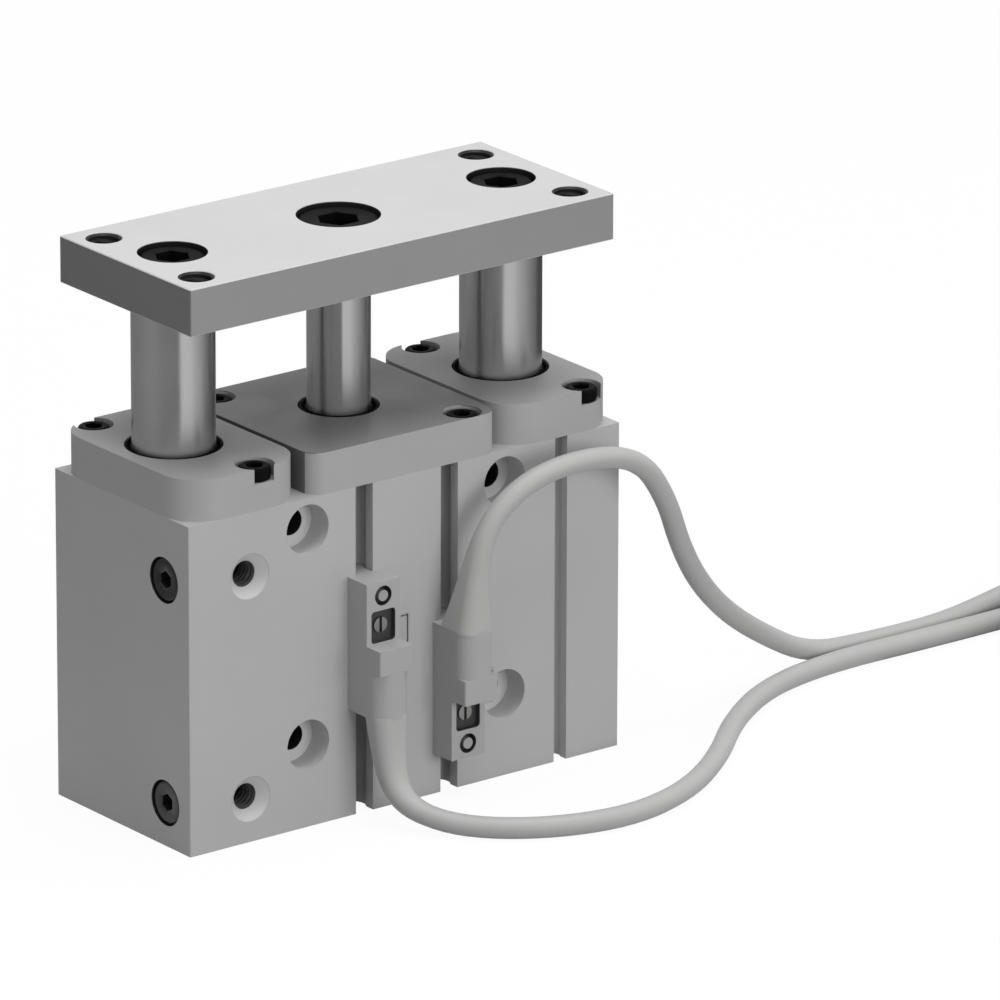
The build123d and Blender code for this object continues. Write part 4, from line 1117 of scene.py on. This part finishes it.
class CYLINDER_OT_add_lead_tie(Operator):
    """Add the strap that holds the two coils together"""

    bl_idname = "cylinder.add_lead_tie"
    bl_label = "Add lead tie"

    def execute(self, context):
        centre_x, centre_y = (value * MM for value in COIL_CENTRE)
        self.add_strap(centre_x, centre_y)
        self.add_head(centre_x, centre_y)
        return {"FINISHED"}

    def add_strap(self, centre_x, centre_y):
        """Loop around both coils: a thin rounded section is carried along a rounded rectangle that stands on
        the coils' radius, and its thickness swells with a small cosine wave, as a ribbed strap's does."""
        width, height = TIE_OUTER - TIE_INNER - TIE_THICKNESS, TIE_TOP - TIE_THICKNESS
        outline = rounded_rectangle(width, height, TIE_CORNER, TIE_STEPS)
        outline += np.array([(TIE_OUTER + TIE_INNER) / 2, TIE_TOP / 2])
        tangent = np.roll(outline, -1, axis=0) - np.roll(outline, 1, axis=0)
        tangent /= np.linalg.norm(tangent, axis=1, keepdims=True)
        outward = np.stack([tangent[:, 1], -tangent[:, 0]], axis=-1)
        section = rounded_rectangle(TIE_THICKNESS, 2 * TIE_HALF_WIDTH, TIE_EDGE, 24)
        ridge = 1 - 0.12 * np.cos(np.arange(TIE_STEPS) * np.pi / 1.5)[:, None]
        reach = outline[:, None, :] + outward[:, None, :] * (section[None, :, :1] * ridge[..., None])
        along = np.broadcast_to(section[None, :, 1], reach.shape[:2])
        x = centre_x + reach[..., 0] * math.cos(TIE_TURN) - along * math.sin(TIE_TURN)
        y = centre_y + reach[..., 0] * math.sin(TIE_TURN) + along * math.cos(TIE_TURN)
        strap = np.stack([x, y, reach[..., 1]], axis=-1)
        plastic = "tie_plastic"
        add_piece("lead_tie_strap", [strap], plastic, BARREL, ("lead_tie",), loop_rows=True)

    def add_head(self, centre_x, centre_y):
        """The tie's locking head, a soft-edged block: at the angles u and v its point is the half sizes times
        the soft signs of cos u cos v, cos u sin v and sin u. The cosine of u is rounded to 0 at the poles."""
        u = np.linspace(-np.pi / 2, np.pi / 2, 25)[:, None]
        v = angles(48)[None, :]
        ring = soft_sign(np.round(np.cos(u), 12))
        across, along = ring * soft_sign(np.cos(v)), ring * soft_sign(np.sin(v))
        shares = np.stack(np.broadcast_arrays(across, along, soft_sign(np.sin(u))), axis=-1)
        block = np.array(TIE_HEAD_HALF) * shares
        ahead, aside, above = TIE_HEAD_SPOT
        spot = (centre_x + ahead, centre_y + aside, TIE_TOP + above)
        add_piece("lead_tie_head", [aimed(block, spot)], "tie_plastic", BARREL, sharp=80)


def soft_sign(value, power=0.28):
    """Sign of the value times its size to a power below 1, which squares a ball up into a block."""
    return np.sign(value) * np.abs(value) ** power


class CYLINDER_OT_add_stage(Operator):
    """Add the floor, the light and the camera"""

    bl_idname = "cylinder.add_stage"
    bl_label = "Add stage"

    def execute(self, context):
        wanted = context.scene.cylinder_stage
        scene = context.scene
        scene.view_settings.view_transform = "Standard"
        self.add_world(scene, wanted.ambient)
        self.add_floor(scene, wanted.floor_grey, wanted.floor_white)
        self.add_card(scene)
        self.add_light(scene, "key", *KEY_LIGHT, wanted.key_strength)
        self.add_light(scene, "fill", *FILL_LIGHT, wanted.fill_strength)
        self.add_camera(scene)
        return {"FINISHED"}

    def add_world(self, scene, ambient):
        """White to the camera and in reflections, and a weaker even light on the object."""
        world = bpy.data.worlds.new("studio")
        world.use_nodes = True
        tree, links = world.node_tree.nodes, world.node_tree.links
        seen = tree["Background"]
        seen.inputs["Color"].default_value = (1, 1, 1, 1)
        seen.inputs["Strength"].default_value = 1.0
        fill = tree.new("ShaderNodeBackground")
        fill.inputs["Color"].default_value = (1, 1, 1, 1)
        fill.inputs["Strength"].default_value = ambient
        mix = tree.new("ShaderNodeMixShader")
        links.new(self.seen_rays(tree, links), mix.inputs["Fac"])
        links.new(fill.outputs["Background"], mix.inputs[1])
        links.new(seen.outputs["Background"], mix.inputs[2])
        links.new(mix.outputs["Shader"], tree["World Output"].inputs["Surface"])
        scene.world = world

    def seen_rays(self, tree, links):
        """Socket that is 1 for camera rays and for what gloss and glass show, and 0 for light on surfaces."""
        rays = tree.new("ShaderNodeLightPath")
        first, second = operation_node(tree, "MAXIMUM"), operation_node(tree, "MAXIMUM")
        links.new(rays.outputs["Is Camera Ray"], first.inputs[0])
        links.new(rays.outputs["Is Glossy Ray"], first.inputs[1])
        links.new(first.outputs["Value"], second.inputs[0])
        links.new(rays.outputs["Is Transmission Ray"], second.inputs[1])
        return second.outputs["Value"]

    def add_floor(self, scene, grey, white):
        """A floor that is seen plain white with a faint shadow of the object, and throws back less light."""
        material, tree, links = new_material("floor_white")
        shader = tree["Principled BSDF"]
        shader.inputs["Roughness"].default_value = 0.9
        shader.inputs["Specular IOR Level"].default_value = 0.0
        seen = self.seen_rays(tree, links)
        tone = operation_node(tree, "MULTIPLY_ADD")
        tone.inputs[1].default_value = FLOOR_SEEN - grey
        tone.inputs[2].default_value = grey
        links.new(seen, tone.inputs[0])
        links.new(tone.outputs["Value"], shader.inputs["Base Color"])
        glow = tree.new("ShaderNodeEmission")
        share = operation_node(tree, "MULTIPLY")
        share.inputs[1].default_value = white
        mix = tree.new("ShaderNodeMixShader")
        links.new(seen, share.inputs[0])
        links.new(share.outputs["Value"], mix.inputs["Fac"])
        links.new(shader.outputs["BSDF"], mix.inputs[1])
        links.new(glow.outputs["Emission"], mix.inputs[2])
        links.new(mix.outputs["Shader"], tree["Material Output"].inputs["Surface"])
        half = FLOOR_HALF
        corners = [(-half, -half, 0), (half, -half, 0), (half, half, 0), (-half, half, 0)]
        self.add_flat(scene, "floor", corners, [(0, 1, 2, 3)], material)

    def add_flat(self, scene, name, corners, faces, material):
        """One flat piece of the stage."""
        mesh = bpy.data.meshes.new(name)
        mesh.from_pydata(corners, [], faces)
        mesh.materials.append(material)
        piece = bpy.data.objects.new(name, mesh)
        scene.collection.objects.link(piece)
        return piece

    def add_card(self, scene):
        """A card on the floor around the object that only its polished rods show. It is white in front and
        fades to greys on both sides: its tone at each angle is read off the list of tones."""
        turns, greys = zip(*CARD_TONES)
        degrees = np.linspace(turns[0], turns[-1], CARD_STEPS + 1)
        turn = np.radians(degrees)
        corners = [
            np.stack([radius * np.cos(turn), radius * np.sin(turn), np.full_like(turn, CARD_HEIGHT)], axis=-1)
            for radius in (CARD_INNER, CARD_OUTER)
        ]
        outer = CARD_STEPS + 1
        faces = [(outer + i, outer + i + 1, i + 1, i) for i in range(CARD_STEPS)]
        material, tree, links = new_material("card_grey")
        tree.remove(tree["Principled BSDF"])
        tone, glow = tree.new("ShaderNodeAttribute"), tree.new("ShaderNodeEmission")
        tone.attribute_name = "tone"
        links.new(tone.outputs["Color"], glow.inputs["Color"])
        links.new(glow.outputs["Emission"], tree["Material Output"].inputs["Surface"])
        card = self.add_flat(scene, "card", np.concatenate(corners).tolist(), faces, material)
        grey = np.tile(np.interp(degrees, turns, greys), 2)
        colours = card.data.color_attributes.new("tone", "FLOAT_COLOR", "POINT")
        colours.data.foreach_set("color", np.column_stack([grey, grey, grey, np.ones_like(grey)]).ravel())
        card.visible_camera = card.visible_diffuse = card.visible_shadow = False
        card.visible_transmission = card.visible_volume_scatter = False

    def add_light(self, scene, name, place, size, power):
        """A large soft light that looks at the object."""
        light = bpy.data.lights.new(name, "AREA")
        light.shape = "RECTANGLE"
        light.size, light.size_y = size
        light.energy = power
        lamp = bpy.data.objects.new(name, light)
        lamp.location = place
        aim = Vector(LIGHT_AIM) - lamp.location
        lamp.rotation_mode = "QUATERNION"
        lamp.rotation_quaternion = aim.to_track_quat("-Z", "Y")
        lamp.visible_glossy = name == "key"
        scene.collection.objects.link(lamp)

    def add_camera(self, scene):
        """Camera at the photograph's angle: it stands at the distance from the target along the direction
        (sin a cos e, -cos a cos e, sin e) and is rolled about its own axis."""
        azimuth, elevation, roll = (math.radians(value) for value in CAMERA_TURNS)
        flat = math.cos(elevation)
        back = Vector((math.sin(azimuth) * flat, -math.cos(azimuth) * flat, math.sin(elevation)))
        level = Vector((math.cos(azimuth), math.sin(azimuth), 0.0))
        up = back.cross(level)
        right = math.cos(roll) * level + math.sin(roll) * up
        top = -math.sin(roll) * level + math.cos(roll) * up
        lens = bpy.data.cameras.new("camera")
        lens.lens = CAMERA_LENS
        lens.sensor_width = CAMERA_SENSOR
        lens.clip_start, lens.clip_end = 0.1, 20.0
        camera = bpy.data.objects.new("camera", lens)
        camera.rotation_mode = "QUATERNION"
        camera.rotation_quaternion = Matrix((right, top, back)).transposed().to_quaternion()
        camera.location = Vector(CAMERA_TARGET) + back * CAMERA_DISTANCE
        scene.collection.objects.link(camera)
        scene.camera = camera


class CYLINDER_PT_pieces(Panel):
    """Lists the pieces of the cylinder and their settings"""

    bl_label = "Guided cylinder"
    bl_idname = "CYLINDER_PT_pieces"
    bl_space_type = "VIEW_3D"
    bl_region_type = "UI"
    bl_category = "Cylinder"

    def draw(self, context):
        layout = self.layout
        for operator in OPERATORS:
            layout.operator(operator.bl_idname)
        for name in SETTINGS:
            settings = getattr(context.scene, name)
            box = layout.box()
            for setting in type(settings).__annotations__:
                box.prop(settings, setting)


OPERATORS = (
    CYLINDER_OT_finish_metalwork,
    CYLINDER_OT_add_rods,
    CYLINDER_OT_add_wipers,
    CYLINDER_OT_add_screws,
    CYLINDER_OT_add_port_plugs,
    CYLINDER_OT_add_threads,
    CYLINDER_OT_add_leads,
    CYLINDER_OT_add_lead_tie,
    CYLINDER_OT_add_stage,
)
SETTINGS = {
    "cylinder_finish": FinishSettings,
    "cylinder_rods": RodSettings,
    "cylinder_screws": ScrewSettings,
    "cylinder_leads": LeadSettings,
    "cylinder_stage": StageSettings,
}


def register():
    """Registers the settings, then the operators and the panel that use them."""
    for settings in SETTINGS.values():
        bpy.utils.register_class(settings)
    for name, settings in SETTINGS.items():
        setattr(bpy.types.Scene, name, PointerProperty(type=settings))
    for item in (*OPERATORS, CYLINDER_PT_pieces):
        bpy.utils.register_class(item)


def unregister():
    """Takes away what register added, in the opposite order."""
    for item in reversed((*OPERATORS, CYLINDER_PT_pieces)):
        bpy.utils.unregister_class(item)
    for name in SETTINGS:
        delattr(bpy.types.Scene, name)
    for settings in reversed(SETTINGS.values()):
        bpy.utils.unregister_class(settings)


def main():
    """Builds every piece in order."""
    register()
    bpy.ops.cylinder.finish_metalwork()
    bpy.ops.cylinder.add_rods()
    bpy.ops.cylinder.add_wipers()
    bpy.ops.cylinder.add_screws()
    bpy.ops.cylinder.add_port_plugs()
    bpy.ops.cylinder.add_threads()
    bpy.ops.cylinder.add_leads()
    bpy.ops.cylinder.add_lead_tie()
    bpy.ops.cylinder.add_stage()


if __name__ == "__main__":
    main()
